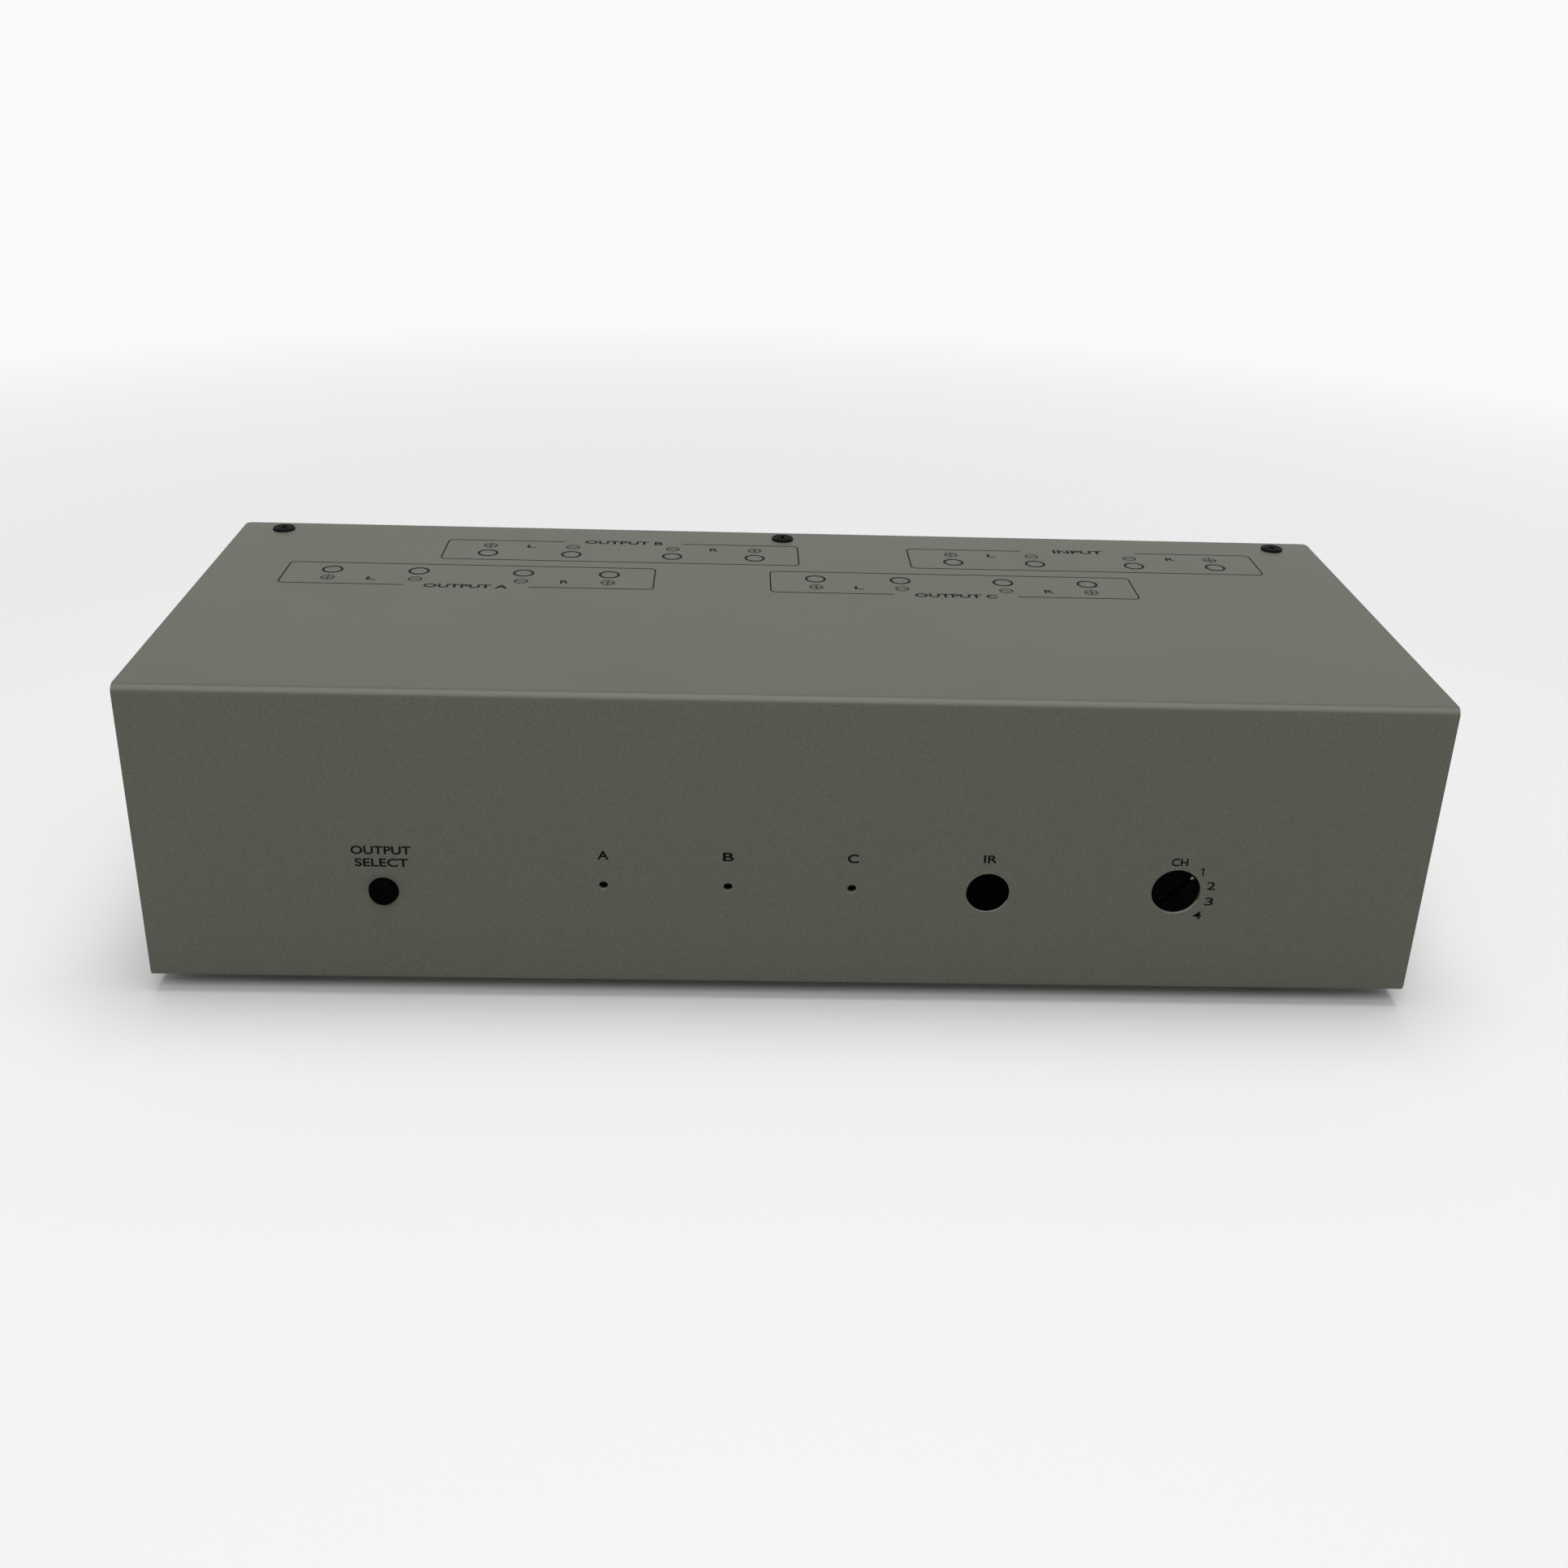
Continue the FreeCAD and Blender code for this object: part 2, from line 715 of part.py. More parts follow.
def switch_plunger():
    length = f"{SWITCH_FACE} + stem_guide - {STEM_START}"
    node(rod("button_x", STEM_START, BUTTON_Z, "stem_radius", length), "switch_plunger")


def button_switch():
    case = centred_block("button_x", SWITCH_FACE, BUTTON_Z, "switch_side", "switch_depth",
                         "switch_side")
    guide = rod("button_x", SWITCH_FACE, BUTTON_Z, "stem_radius + dial_fit",
                "stem_guide + 2 * button_travel")
    node(cut(case, [guide]), "button_switch")


DIAL_Z = f"({BASE} + dial_height)"
DIAL_FACE = f"({FRONT} + dial_set_back)"
ROTARY_FACE = f"({DIAL_FACE} + dial_thickness + dial_fit)"


def channel_rotor():
    """The slotted dial, made about its own axis and turned to its first position."""
    disc = rod("0", "0", "0", "dial_radius", "dial_thickness", "-Z")
    shaft = rod("0", "0", "0", "dial_shaft_radius", "dial_thickness + dial_shaft_length", "-Z")
    slot = block("-dial_slot_length / 2", "-dial_slot_width / 2", "-dial_slot_depth",
                 "dial_slot_length", "dial_slot_width", "dial_slot_depth")
    rotor = cut(joined([disc, shaft]), [slot])
    angle = math.radians(SIZES["dial_first_angle"])
    along = FreeCAD.Vector(math.cos(angle), 0, math.sin(angle))
    across = FreeCAD.Vector(-math.sin(angle), 0, math.cos(angle))
    rotor.Placement.Rotation = FreeCAD.Rotation(along, across, FreeCAD.Vector(0, -1, 0), "XYZ")
    put(rotor, "dial_x", DIAL_FACE, DIAL_Z)
    node(rotor, "channel_rotor")


def rotary_switch():
    case = centred_block("dial_x", ROTARY_FACE, DIAL_Z, "rotary_side",
                         f"({BOARD_FACE} - {ROTARY_FACE})", "rotary_side")
    guide = rod("dial_x", ROTARY_FACE, DIAL_Z, "dial_shaft_radius + dial_fit",
                "dial_shaft_length + dial_fit")
    node(cut(case, [guide]), "rotary_switch")


def main_board():
    plate = block("main_left", f"{FRONT} + main_front", f"{MAIN_TOP} - board",
                  "main_right - main_left", "main_rear - main_front", "board")
    tools = holes_for(lambda place: place[2] == MAIN_TOP)
    node(cut(plate, tools), "main_board")


def board_pillars():
    pillars = []
    bore = "screw_radius + thread_fit"
    for x, y in MAIN_PILLARS:
        post = rod(x, y, TRAY_TOP, "pillar_radius", "pillar_length", "+Z")
        spigot = rod(x, y, TRAY_UNDER, "spigot_radius", "wall", "+Z")
        hole = rod(x, y, TRAY_UNDER, bore, "pillar_length + wall", "+Z")
        pillars.append(cut(joined([post, spigot]), [hole]))
    for x, z in CONTROL_PILLARS:
        post = rod(x, f"{BOARD_FACE} + board", z, "pillar_radius", "pillar_length")
        spigot = rod(x, BRACKET_FACE, z, "spigot_radius", "wall")
        hole = rod(x, f"{BOARD_FACE} + board", z, bore, "pillar_length + wall")
        pillars.append(cut(joined([post, spigot]), [hole]))
    node(group(pillars), "board_pillars")


CORE_Y = f"({FRONT} + core_set_back)"
CORE_Z = f"({MAIN_TOP} + core_height / 2)"
WINDOW_WIDTH = "((core_width - 4 * core_limb) / 2)"
WINDOW_HIGH = "(core_height - 2 * core_limb)"


def transformer_core():
    start = f"({CORE_Y} - core_stack / 2)"
    frame = centred_block("core_x", start, CORE_Z, "core_width", "core_stack", "core_height")
    windows = [
        centred_block(f"core_x {side} (core_limb + {WINDOW_WIDTH} / 2)", start, CORE_Z,
                      WINDOW_WIDTH, "core_stack", WINDOW_HIGH)
        for side in ("-", "+")
    ]
    node(cut(frame, windows), "transformer_core")


def transformer_coil():
    """The wound bobbin around the core's middle limb."""
    depth = "(core_stack + 2 * coil_overhang)"
    width = f"(2 * core_limb + 2 * {WINDOW_WIDTH} - 2 * coil_gap)"
    coil = centred_block("core_x", f"({CORE_Y} - {depth} / 2)", CORE_Z, width, depth,
                         f"({WINDOW_HIGH} - 2 * coil_gap)")
    limb = centred_block("core_x", f"({CORE_Y} - core_stack / 2 - coil_gap)", CORE_Z,
                         "(2 * core_limb + 2 * coil_gap)", "(core_stack + 2 * coil_gap)",
                         WINDOW_HIGH)
    node(cut(coil, [limb]), "transformer_coil")


def capacitors():
    cans = [
        rod(f"can_first_x + {i} * can_pitch", f"{FRONT} + can_set_back", MAIN_TOP, "can_radius",
            "can_height", "+Z")
        for i in range(CANS)
    ]
    node(group(cans), "capacitors")


def relay_board():
    low, high = f"({BASE} + relay_board_low)", f"({BASE} + relay_board_high)"
    plate = block("-relay_board_half_width", RELAY_FACE, low, "2 * relay_board_half_width",
                  "board", f"{high} - {low}")
    pins = [rod(x, RELAY_FACE, z, "tail_pin_radius + stud_fit", "board") for _, x, z in POSTS]
    notch = block("-relay_board_half_width", RELAY_FACE, low,
                  "notch_right + relay_board_half_width", "board", f"{BASE} + notch_high - {low}")
    node(cut(plate, pins + [notch]), "relay_board")


def relays():
    """A row of relays that fills the relay board between its two end margins."""
    pitch = f"(2 * (relay_board_half_width - relay_edge) / {RELAYS - 1})"
    cases = [
        centred_block(f"({i} - {(RELAYS - 1) / 2}) * {pitch}", f"({RELAY_FACE} - relay_depth)",
                      f"({BASE} + relay_middle)", "relay_width", "relay_depth", "relay_height")
        for i in range(RELAYS)
    ]
    node(group(cases), "relays")


def mains_leads():
    """Two leads from the inlet's back, one bend each, down to the main board."""
    leads = []
    start = f"({PANEL} - inlet_depth)"
    bend_y = f"({FRONT} + lead_end + lead_bend)"
    bend_z = f"({INLET_Z} - lead_bend)"
    turn = FreeCAD.Rotation(FreeCAD.Vector(0, 0, 1), FreeCAD.Vector(0, -1, 0),
                            FreeCAD.Vector(1, 0, 0), "XYZ")
    for side in ("-", "+"):
        x = f"(inlet_x {side} lead_pitch / 2)"
        bend = doc.addObject("Part::Torus", "bend")
        bind(bend, Radius1="lead_bend", Radius2="lead_radius")
        bend.Angle3 = 90
        bend.Placement.Rotation = turn
        put(bend, x, bend_y, bend_z)
        level = rod(x, bend_y, INLET_Z, "lead_radius", f"{start} - {bend_y}")
        drop = rod(x, f"{FRONT} + lead_end", MAIN_TOP, "lead_radius", f"{bend_z} - {MAIN_TOP}", "+Z")
        leads.append(joined([level, bend, drop]))
    node(group(leads), "mains_leads")


def control_ribbon():
    """A flat ribbon from the back of the control board down to the main board."""
    start = f"({BOARD_FACE} + board)"
    end = f"({FRONT} + ribbon_end)"
    under = f"({BASE} + ribbon_high)"
    over = f"({under} + ribbon_thickness)"
    inner = f"({end} - ribbon_thickness)"
    corners = [
        (start, under),
        (inner, under),
        (inner, MAIN_TOP),
        (end, MAIN_TOP),
        (end, over),
        (start, over),
    ]
    rounds = [(end, over, "ribbon_bend"), (inner, under, "ribbon_bend - ribbon_thickness")]
    body = profile_body("ribbon", "YZ_Plane", corners, "ribbon_width", rounds)
    bind(body, Placement__Base__x="ribbon_x")
    node(body, "control_ribbon")


def mains_inlet():
    """A two-pin socket with a screwed flange."""
    flange = centred_block("inlet_x", PANEL, INLET_Z, "inlet_flange_width", "inlet_flange",
                           "inlet_flange_height")
    shell = centred_block("inlet_x", f"({PANEL} - inlet_depth)", INLET_Z, "inlet_width",
                          "inlet_depth", "inlet_body_height")
    mouth = f"({PANEL} + inlet_flange - inlet_cavity_depth)"
    cavity = centred_block("inlet_x", mouth, INLET_Z, "inlet_cavity_width", "inlet_cavity_depth",
                           "inlet_cavity_height")
    tools = [cavity] + holes_for(lambda place: place[3] == "-Y")
    pins = [
        rod(f"inlet_x {side} inlet_pin_pitch / 2", mouth, INLET_Z, "inlet_pin_radius",
            "inlet_pin_length")
        for side in ("-", "+")
    ]
    hollow = cut(joined([flange, shell]), tools)
    node(joined([hollow] + pins), "mains_inlet")


def post_studs():
    studs = []
    for _, x, z in POSTS:
        tail_end = f"({PANEL} - relay_board_set_in)"
        parts = [
            rod(x, f"{tail_end} - tail_pin_length", z, "tail_pin_radius", "tail_pin_length + wall"),
            rod(x, tail_end, z, "stud_neck_radius", "relay_board_set_in + collar_thickness"),
            rod(x, f"{PANEL} + collar_thickness", z, "stud_flange_radius", "stud_flange"),
            rod(x, f"{PANEL} + collar_thickness", z, "stud_radius", "post_reach - collar_thickness"),
        ]
        socket = rod(x, f"{PANEL} + post_reach - socket_depth", z, "socket_radius", "socket_depth")
        wire_hole = rod(x, f"{PANEL} + wire_hole_at", f"{z} - stud_radius", "wire_hole_radius",
                        "2 * stud_radius", "+Z")
        studs.append(cut(joined(parts), [socket, wire_hole]))
    node(group(studs), "post_studs")


def post_insulators():
    """An outer collar with a neck through the panel, and a washer inside it, per post."""
    pieces = []
    bore = "stud_neck_radius + stud_fit"
    for _, x, z in POSTS:
        collar = rod(x, PANEL, z, "collar_radius", "collar_thickness")
        neck = rod(x, f"{PANEL} - wall", z, "collar_neck_radius", "wall")
        hole = rod(x, f"{PANEL} - wall", z, bore, "collar_thickness + wall")
        pieces.append(cut(joined([collar, neck]), [hole]))
        start = f"{PANEL} - wall - inner_washer"
        washer = rod(x, start, z, "inner_washer_radius", "inner_washer")
        pieces.append(cut(washer, [rod(x, start, z, bore, "inner_washer")]))
    node(group(pieces), "post_insulators")


def post_nuts():
    nuts = []
    for _, x, z in POSTS:
        start = f"{PANEL} - wall - inner_washer - nut_thickness"
        nut = doc.addObject("Part::Prism", "nut")
        nut.Polygon = 6
        nut.Placement.Rotation = TURNS["+Y"]
        bind(nut, Circumradius="nut_across_flats / sqrt(3)", Height="nut_thickness")
        put(nut, x, start, z)
        nuts.append(cut(nut, [rod(x, start, z, "stud_neck_radius + stud_fit", "nut_thickness")]))
    node(group(nuts), "post_nuts")


def post_washer(name, x, z):
    ring = rod(x, WASHER_SEAT, z, "washer_radius", "washer_thickness")
    hole = rod(x, WASHER_SEAT, z, "stud_radius + cap_fit", "washer_thickness")
    node(cut(ring, [hole]), f"washer_{name}")


def post_cap(name, x, z):
    """A cap with straight flutes and a chamfered outer end."""
    straight = "(cap_length - cap_edge)"
    shell = rod(x, CAP_SEAT, z, "cap_radius", straight)
    edge = cone(x, f"{CAP_SEAT} + {straight}", z, "cap_radius", "cap_radius - cap_edge", "cap_edge")
    tools = [rod(x, CAP_SEAT, z, "stud_radius + cap_fit", "cap_length")]
    for i in range(FLUTES):
        angle = 2 * math.pi * i / FLUTES
        tools.append(rod(f"{x} + flute_circle * {math.cos(angle):.6f}", CAP_SEAT,
                         f"{z} + flute_circle * {math.sin(angle):.6f}", "flute_radius",
                         "cap_length"))
    node(cut(joined([shell, edge]), tools), f"cap_{name}")


def check(items):
    for item in items:
        if "Invalid" in item.State or "Error" in item.State:
            raise RuntimeError(f"{item.Name} ({item.Label}) failed: {item.State}")
    for item in NODES:
        if item.Shape.isNull() or not item.Shape.isValid() or not item.Shape.Solids:
            raise RuntimeError(f"{item.Label} has no valid solid")


MAKERS = [
    front_top_cover, base_tray, rear_panel, pan_head_screws, rubber_feet,
    control_bracket, control_board, status_leds, receiver_window, infrared_receiver,
    select_button, switch_plunger, button_switch, channel_rotor, rotary_switch,
    main_board, board_pillars, transformer_core, transformer_coil, capacitors,
    relay_board, relays, mains_leads, control_ribbon, mains_inlet,
    post_studs, post_insulators, post_nuts,
]
for make in MAKERS:
    make()
for post in POSTS:
    post_washer(*post)
    post_cap(*post)
doc.recompute()
check(doc.Objects)

os.makedirs("parts", exist_ok=True)
for item in NODES:
    item.Shape.exportStep(os.path.join("parts", f"{item.Label}.step"))
    print(item.Label, len(item.Shape.Solids), round(item.Shape.Volume, 1))
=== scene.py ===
import math

import bpy
from mathutils import Matrix, Vector


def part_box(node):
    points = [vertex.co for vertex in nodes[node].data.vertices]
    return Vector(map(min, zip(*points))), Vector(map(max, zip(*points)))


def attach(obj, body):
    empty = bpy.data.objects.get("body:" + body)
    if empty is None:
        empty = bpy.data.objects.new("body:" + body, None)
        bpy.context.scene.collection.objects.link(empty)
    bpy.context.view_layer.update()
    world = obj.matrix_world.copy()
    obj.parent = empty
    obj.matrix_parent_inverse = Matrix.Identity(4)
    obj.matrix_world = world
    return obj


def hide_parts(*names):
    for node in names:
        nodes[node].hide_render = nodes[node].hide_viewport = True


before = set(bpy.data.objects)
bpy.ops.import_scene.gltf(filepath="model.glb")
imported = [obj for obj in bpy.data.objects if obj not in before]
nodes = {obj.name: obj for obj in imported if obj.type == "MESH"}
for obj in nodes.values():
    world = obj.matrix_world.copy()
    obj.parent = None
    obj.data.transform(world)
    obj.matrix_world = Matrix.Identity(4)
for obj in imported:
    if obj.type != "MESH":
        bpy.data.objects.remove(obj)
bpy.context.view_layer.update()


# The cover: one sheet of steel folded over the front, the top and a short way under the base.
# It is powder-coated in a warm grey, with a fine even grain that is only seen close up.
MM = 0.001
PAINT_DARK = (0.08, 0.082, 0.066, 1)
PAINT_LIGHT = (0.132, 0.135, 0.109, 1)
# A painted highlight along the long bend, as if lit from above and in front.
PAINTED_BEND_HIGHLIGHT = (0.165, 0.17, 0.142, 1)
# A painted highlight on the holes' upward-facing cut edges, where light from above falls.
PAINTED_CUT_EDGE_HIGHLIGHT = (0.4, 0.41, 0.36, 1)
PAINT_GRAIN = 0.3 * MM
# How far a face has turned into the long bend, and so how much painted highlight it takes, is told
# by its normal, forward times upward.
BEND_BEGINS, BEND_IS_FULL = -0.28, -0.49
BEND_HEIGHT = 5 * MM
CUT_FACES_UP = 0.4
CUT_DEPTH = 0.45 * MM
front_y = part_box("front_top_cover")[0][1]
base_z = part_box("front_top_cover")[0][2]
top_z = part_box("front_top_cover")[1][2]


def new_material(name, roughness, metallic=0.0, specular=0.5):
    """A material, its shader, and the object's own coordinates for its patterns."""
    material = bpy.data.materials.new(name)
    material.use_nodes = True
    tree = material.node_tree
    shader = tree.nodes["Principled BSDF"]
    shader.inputs["Roughness"].default_value = roughness
    shader.inputs["Metallic"].default_value = metallic
    shader.inputs["Specular IOR Level"].default_value = specular
    place = tree.nodes.new("ShaderNodeTexCoord").outputs["Object"]
    return material, tree, shader, place


def noise(tree, place, size, detail=2.0, stretch=(1, 1, 1)):
    """Cloudy noise whose features are about as large as size, in metres."""
    mapping = tree.nodes.new("ShaderNodeMapping")
    mapping.inputs["Scale"].default_value = stretch
    tree.links.new(place, mapping.inputs["Vector"])
    cloud = tree.nodes.new("ShaderNodeTexNoise")
    cloud.inputs["Scale"].default_value = 1 / size
    cloud.inputs["Detail"].default_value = detail
    tree.links.new(mapping.outputs["Vector"], cloud.inputs["Vector"])
    return cloud.outputs["Fac"]


def shade(tree, factor, dark, light, low=0.3, high=0.7):
    """A colour that runs from dark to light with the factor."""
    ramp = tree.nodes.new("ShaderNodeValToRGB")
    ramp.color_ramp.elements[0].position = low
    ramp.color_ramp.elements[0].color = dark
    ramp.color_ramp.elements[1].position = high
    ramp.color_ramp.elements[1].color = light
    tree.links.new(factor, ramp.inputs["Fac"])
    return ramp.outputs["Color"]


def vary(tree, factor, low, high, socket):
    """Let a plain number wander between low and high."""
    span = tree.nodes.new("ShaderNodeMapRange")
    span.inputs["To Min"].default_value = low
    span.inputs["To Max"].default_value = high
    tree.links.new(factor, span.inputs["Value"])
    tree.links.new(span.outputs["Result"], socket)


def relief(tree, shader, height, depth, strength):
    """A fine unevenness of the surface, as deep as depth, in metres."""
    bump = tree.nodes.new("ShaderNodeBump")
    bump.inputs["Strength"].default_value = strength
    bump.inputs["Distance"].default_value = depth
    tree.links.new(height, bump.inputs["Height"])
    tree.links.new(bump.outputs["Normal"], shader.inputs["Normal"])


def compute(tree, operation, first, second):
    """One sum on two values, each a socket or a plain number."""
    sum_node = tree.nodes.new("ShaderNodeMath")
    sum_node.operation = operation
    for value, socket in zip((first, second), sum_node.inputs):
        if isinstance(value, (int, float)):
            socket.default_value = value
        else:
            tree.links.new(value, socket)
    return sum_node.outputs["Value"]


def apart(tree, vector):
    """The three parts of a vector."""
    split = tree.nodes.new("ShaderNodeSeparateXYZ")
    tree.links.new(vector, split.inputs["Vector"])
    return split.outputs


def blend(tree, factor, first, second):
    """One colour that gives way to another, which is plain, as the factor rises."""
    mix = tree.nodes.new("ShaderNodeMix")
    mix.data_type = "RGBA"
    # A Mix node's colour sockets share their names with its other kinds, and go by number.
    from_colour, to_colour, mixed_colour = mix.inputs[6], mix.inputs[7], mix.outputs[2]
    tree.links.new(factor, mix.inputs["Factor"])
    tree.links.new(first, from_colour)
    to_colour.default_value = second
    return mixed_colour


def case_paint():
    """Paint with a painted highlight on the long bend and on the holes' upward-facing cut edges.
    """
    material, tree, shader, place = new_material("case_paint", roughness=0.5, specular=0.15)
    grain = noise(tree, place, PAINT_GRAIN, detail=3.0)
    colour = shade(tree, grain, PAINT_DARK, PAINT_LIGHT, 0.2, 0.8)
    facing = apart(tree, tree.nodes.new("ShaderNodeNewGeometry").outputs["Normal"])
    spot = apart(tree, place)
    # The painted highlight: faces turned into the bend take a lighter colour.
    bend_highlight = tree.nodes.new("ShaderNodeMapRange")
    bend_highlight.inputs["From Min"].default_value = BEND_BEGINS
    bend_highlight.inputs["From Max"].default_value = BEND_IS_FULL
    tree.links.new(compute(tree, "MULTIPLY", facing["Y"], facing["Z"]), bend_highlight.inputs["Value"])
    colour = blend(tree, bend_highlight.outputs["Result"], colour, PAINTED_BEND_HIGHLIGHT)
    # A painted highlight on the upward-facing cut edges of the holes near the front, below the
    # bend.
    upward = compute(tree, "GREATER_THAN", facing["Z"], CUT_FACES_UP)
    in_front = compute(tree, "LESS_THAN", spot["Y"], front_y + CUT_DEPTH)
    below = compute(tree, "LESS_THAN", spot["Z"], top_z - BEND_HEIGHT)
    cut_edge_highlight = compute(tree, "MULTIPLY", compute(tree, "MULTIPLY", upward, in_front), below)
    colour = blend(tree, cut_edge_highlight, colour, PAINTED_CUT_EDGE_HIGHLIGHT)
    tree.links.new(colour, shader.inputs["Base Color"])
    vary(tree, noise(tree, place, 30 * MM), 0.44, 0.52, shader.inputs["Roughness"])
    relief(tree, shader, grain, 0.05 * MM, 0.5)
    return material


def coat(node, material):
    """Give a node of the frame its finish."""
    for slot in nodes[node].material_slots:
        slot.material = material


PAINT = case_paint()
coat("front_top_cover", PAINT)


# The printing on the front and the top: black ink, screened on the paint in thin lines.
# The front names the controls, and the top maps the rear posts as they are seen from the front.
INK_LOW = 0.01 * MM
INK_HIGH = 0.03 * MM
rear_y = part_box("rear_panel")[1][1]
FORWARD = Matrix.Rotation(math.pi / 2, 4, "X")
FACES = {
    "front": Matrix.Translation((0, front_y, base_z)) @ FORWARD,
    "top": Matrix.Translation((0, front_y, top_z)),
    "rear": Matrix.Translation((0, rear_y, base_z)) @ Matrix.Rotation(math.pi, 4, "Z") @ FORWARD,
}


def grey(level):
    return (level, level, level, 1)


def clouded(tree, place, shader, size, dark, light):
    """Let the base colour wander between two tones, in clouds of about one size."""
    colour = shade(tree, noise(tree, place, size), dark, light)
    tree.links.new(colour, shader.inputs["Base Color"])


def ink(name, dark, light):
    """Matt ink that varies a little in cover."""
    material, tree, shader, place = new_material(name, roughness=0.7, specular=0.05)
    clouded(tree, place, shader, 0.2 * MM, dark, light)
    vary(tree, noise(tree, place, 1 * MM), 0.6, 0.8, shader.inputs["Roughness"])
    return material


FRONT_INK = ink("front_ink", grey(0.001), grey(0.004))
TOP_INK = ink("top_ink", grey(0.003), (0.01, 0.01, 0.009, 1))
REAR_INK = ink("rear_ink", (0.55, 0.55, 0.5, 1), (0.68, 0.68, 0.63, 1))


def no_selection():
    if bpy.context.object and bpy.context.object.mode != "OBJECT":
        bpy.ops.object.mode_set(mode="OBJECT")
    bpy.ops.object.select_all(action="DESELECT")


def printed_words(words, x, y, height, width, bold=0.018):
    """Words on the plane z = 0, their middle at x and y, scaled to a real height and width.

    Bold thickens the strokes, as a share of the type's size."""
    no_selection()
    bpy.ops.object.text_add(location=(0, 0, 0))
    piece = bpy.context.object
    piece.data.body = words
    piece.data.resolution_u = 6
    piece.data.offset = bold
    bpy.ops.object.convert(target="MESH")
    piece = bpy.context.object
    xs = [v.co.x for v in piece.data.vertices]
    ys = [v.co.y for v in piece.data.vertices]
    tall = height / (max(ys) - min(ys))
    wide = width / (max(xs) - min(xs))
    middle = Vector(((max(xs) + min(xs)) / 2, (max(ys) + min(ys)) / 2, 0))
    piece.data.transform(Matrix.Translation(-middle))
    piece.data.transform(Matrix.Diagonal((wide, tall, 1, 1)))
    piece.data.transform(Matrix.Translation((x, y, 0)))
    return piece


def printed_bar(x, y, width, depth, turn=0):
    """A straight stroke of ink."""
    no_selection()
    bpy.ops.mesh.primitive_plane_add(size=1, location=(x, y, 0), rotation=(0, 0, turn))
    stroke = bpy.context.object
    stroke.scale = (width, depth, 1)
    bpy.ops.object.transform_apply(location=True, rotation=True, scale=True)
    return stroke


def hollowed(sheet, line):
    """Leave only a line of ink round the edge of a flat sheet."""
    bpy.ops.object.mode_set(mode="EDIT")
    bpy.ops.mesh.select_all(action="SELECT")
    bpy.ops.mesh.inset(thickness=line)
    bpy.ops.mesh.delete(type="FACE")
    bpy.ops.object.mode_set(mode="OBJECT")
    return sheet


def printed_ring(x, y, outside, line):
    no_selection()
    bpy.ops.mesh.primitive_circle_add(vertices=48, radius=outside, fill_type="NGON",
                                      location=(x, y, 0))
    bpy.ops.object.transform_apply(location=True, rotation=False, scale=False)
    return hollowed(bpy.context.object, line)


def printing(name, pieces, face, material):
    """Join pieces of ink, give them their thickness and lay them on a face of the case."""
    no_selection()
    for piece in pieces:
        piece.select_set(True)
    bpy.context.view_layer.objects.active = pieces[0]
    bpy.ops.object.join()
    sheet = bpy.context.object
    sheet.name = name
    thick = sheet.modifiers.new("thickness", "SOLIDIFY")
    thick.thickness = INK_HIGH - INK_LOW
    thick.offset = 1
    bpy.ops.object.modifier_apply(modifier="thickness")
    sheet.data.transform(FACES[face] @ Matrix.Translation((0, 0, INK_LOW)))
    sheet.data.materials.clear()
    sheet.data.materials.append(material)
    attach(sheet, "case")


BUTTON_X = -87.5 * MM
LAMP_X = {"A": -40 * MM, "B": -13 * MM, "C": 14 * MM}
WINDOW_X = 43.8 * MM
DIAL_X = 85.2 * MM
DIAL_HEIGHT = 25 * MM
# Each word on the front: its middle, its height above the base, and how tall and wide it is.
FRONT_WORDS = {
    "OUTPUT": (BUTTON_X, 32.4 * MM, 2.0 * MM, 12.8 * MM),
    "SELECT": (BUTTON_X, 29.4 * MM, 2.0 * MM, 11.4 * MM),
    "IR": (WINDOW_X, 32.4 * MM, 1.9 * MM, 2.9 * MM),
    "CH": (DIAL_X, 32.3 * MM, 1.9 * MM, 3.6 * MM),
}
for letter, x in LAMP_X.items():
    FRONT_WORDS[letter] = (x, 32.0 * MM, 2.1 * MM, 2.4 * MM)
# Each digit's place from the dial's middle. The 1 is two strokes, an upright and a short flag.
DIAL_DIGITS = {"2": (7.6 * MM, 1.6 * MM), "3": (7.6 * MM, -2.3 * MM), "4": (5.4 * MM, -5.8 * MM)}
ONE_ACROSS, ONE_UP = 5.4 * MM, 5.0 * MM
DIGIT_HEIGHT = 1.95 * MM
DIGIT_WIDTH = 1.9 * MM
DIGIT_BOLD = 0.008
UPRIGHT_WIDTH = 0.3 * MM
FLAG_LENGTH, FLAG_WIDTH, FLAG_TURN = 0.75 * MM, 0.26 * MM, math.radians(38)
FLAG_UP = 0.72 * MM

front_words = [printed_words(words, *place) for words, place in FRONT_WORDS.items()]
for digit, (across, up) in DIAL_DIGITS.items():
    place = (DIAL_X + across, DIAL_HEIGHT + up)
    front_words.append(printed_words(digit, *place, DIGIT_HEIGHT, DIGIT_WIDTH, DIGIT_BOLD))
one_x, one_y = DIAL_X + ONE_ACROSS, DIAL_HEIGHT + ONE_UP
front_words.append(printed_bar(one_x, one_y, UPRIGHT_WIDTH, DIGIT_HEIGHT))
front_words.append(printed_bar(one_x - UPRIGHT_WIDTH, one_y + FLAG_UP, FLAG_LENGTH, FLAG_WIDTH,
                               FLAG_TURN))
printing("front_printing", front_words, "front", FRONT_INK)

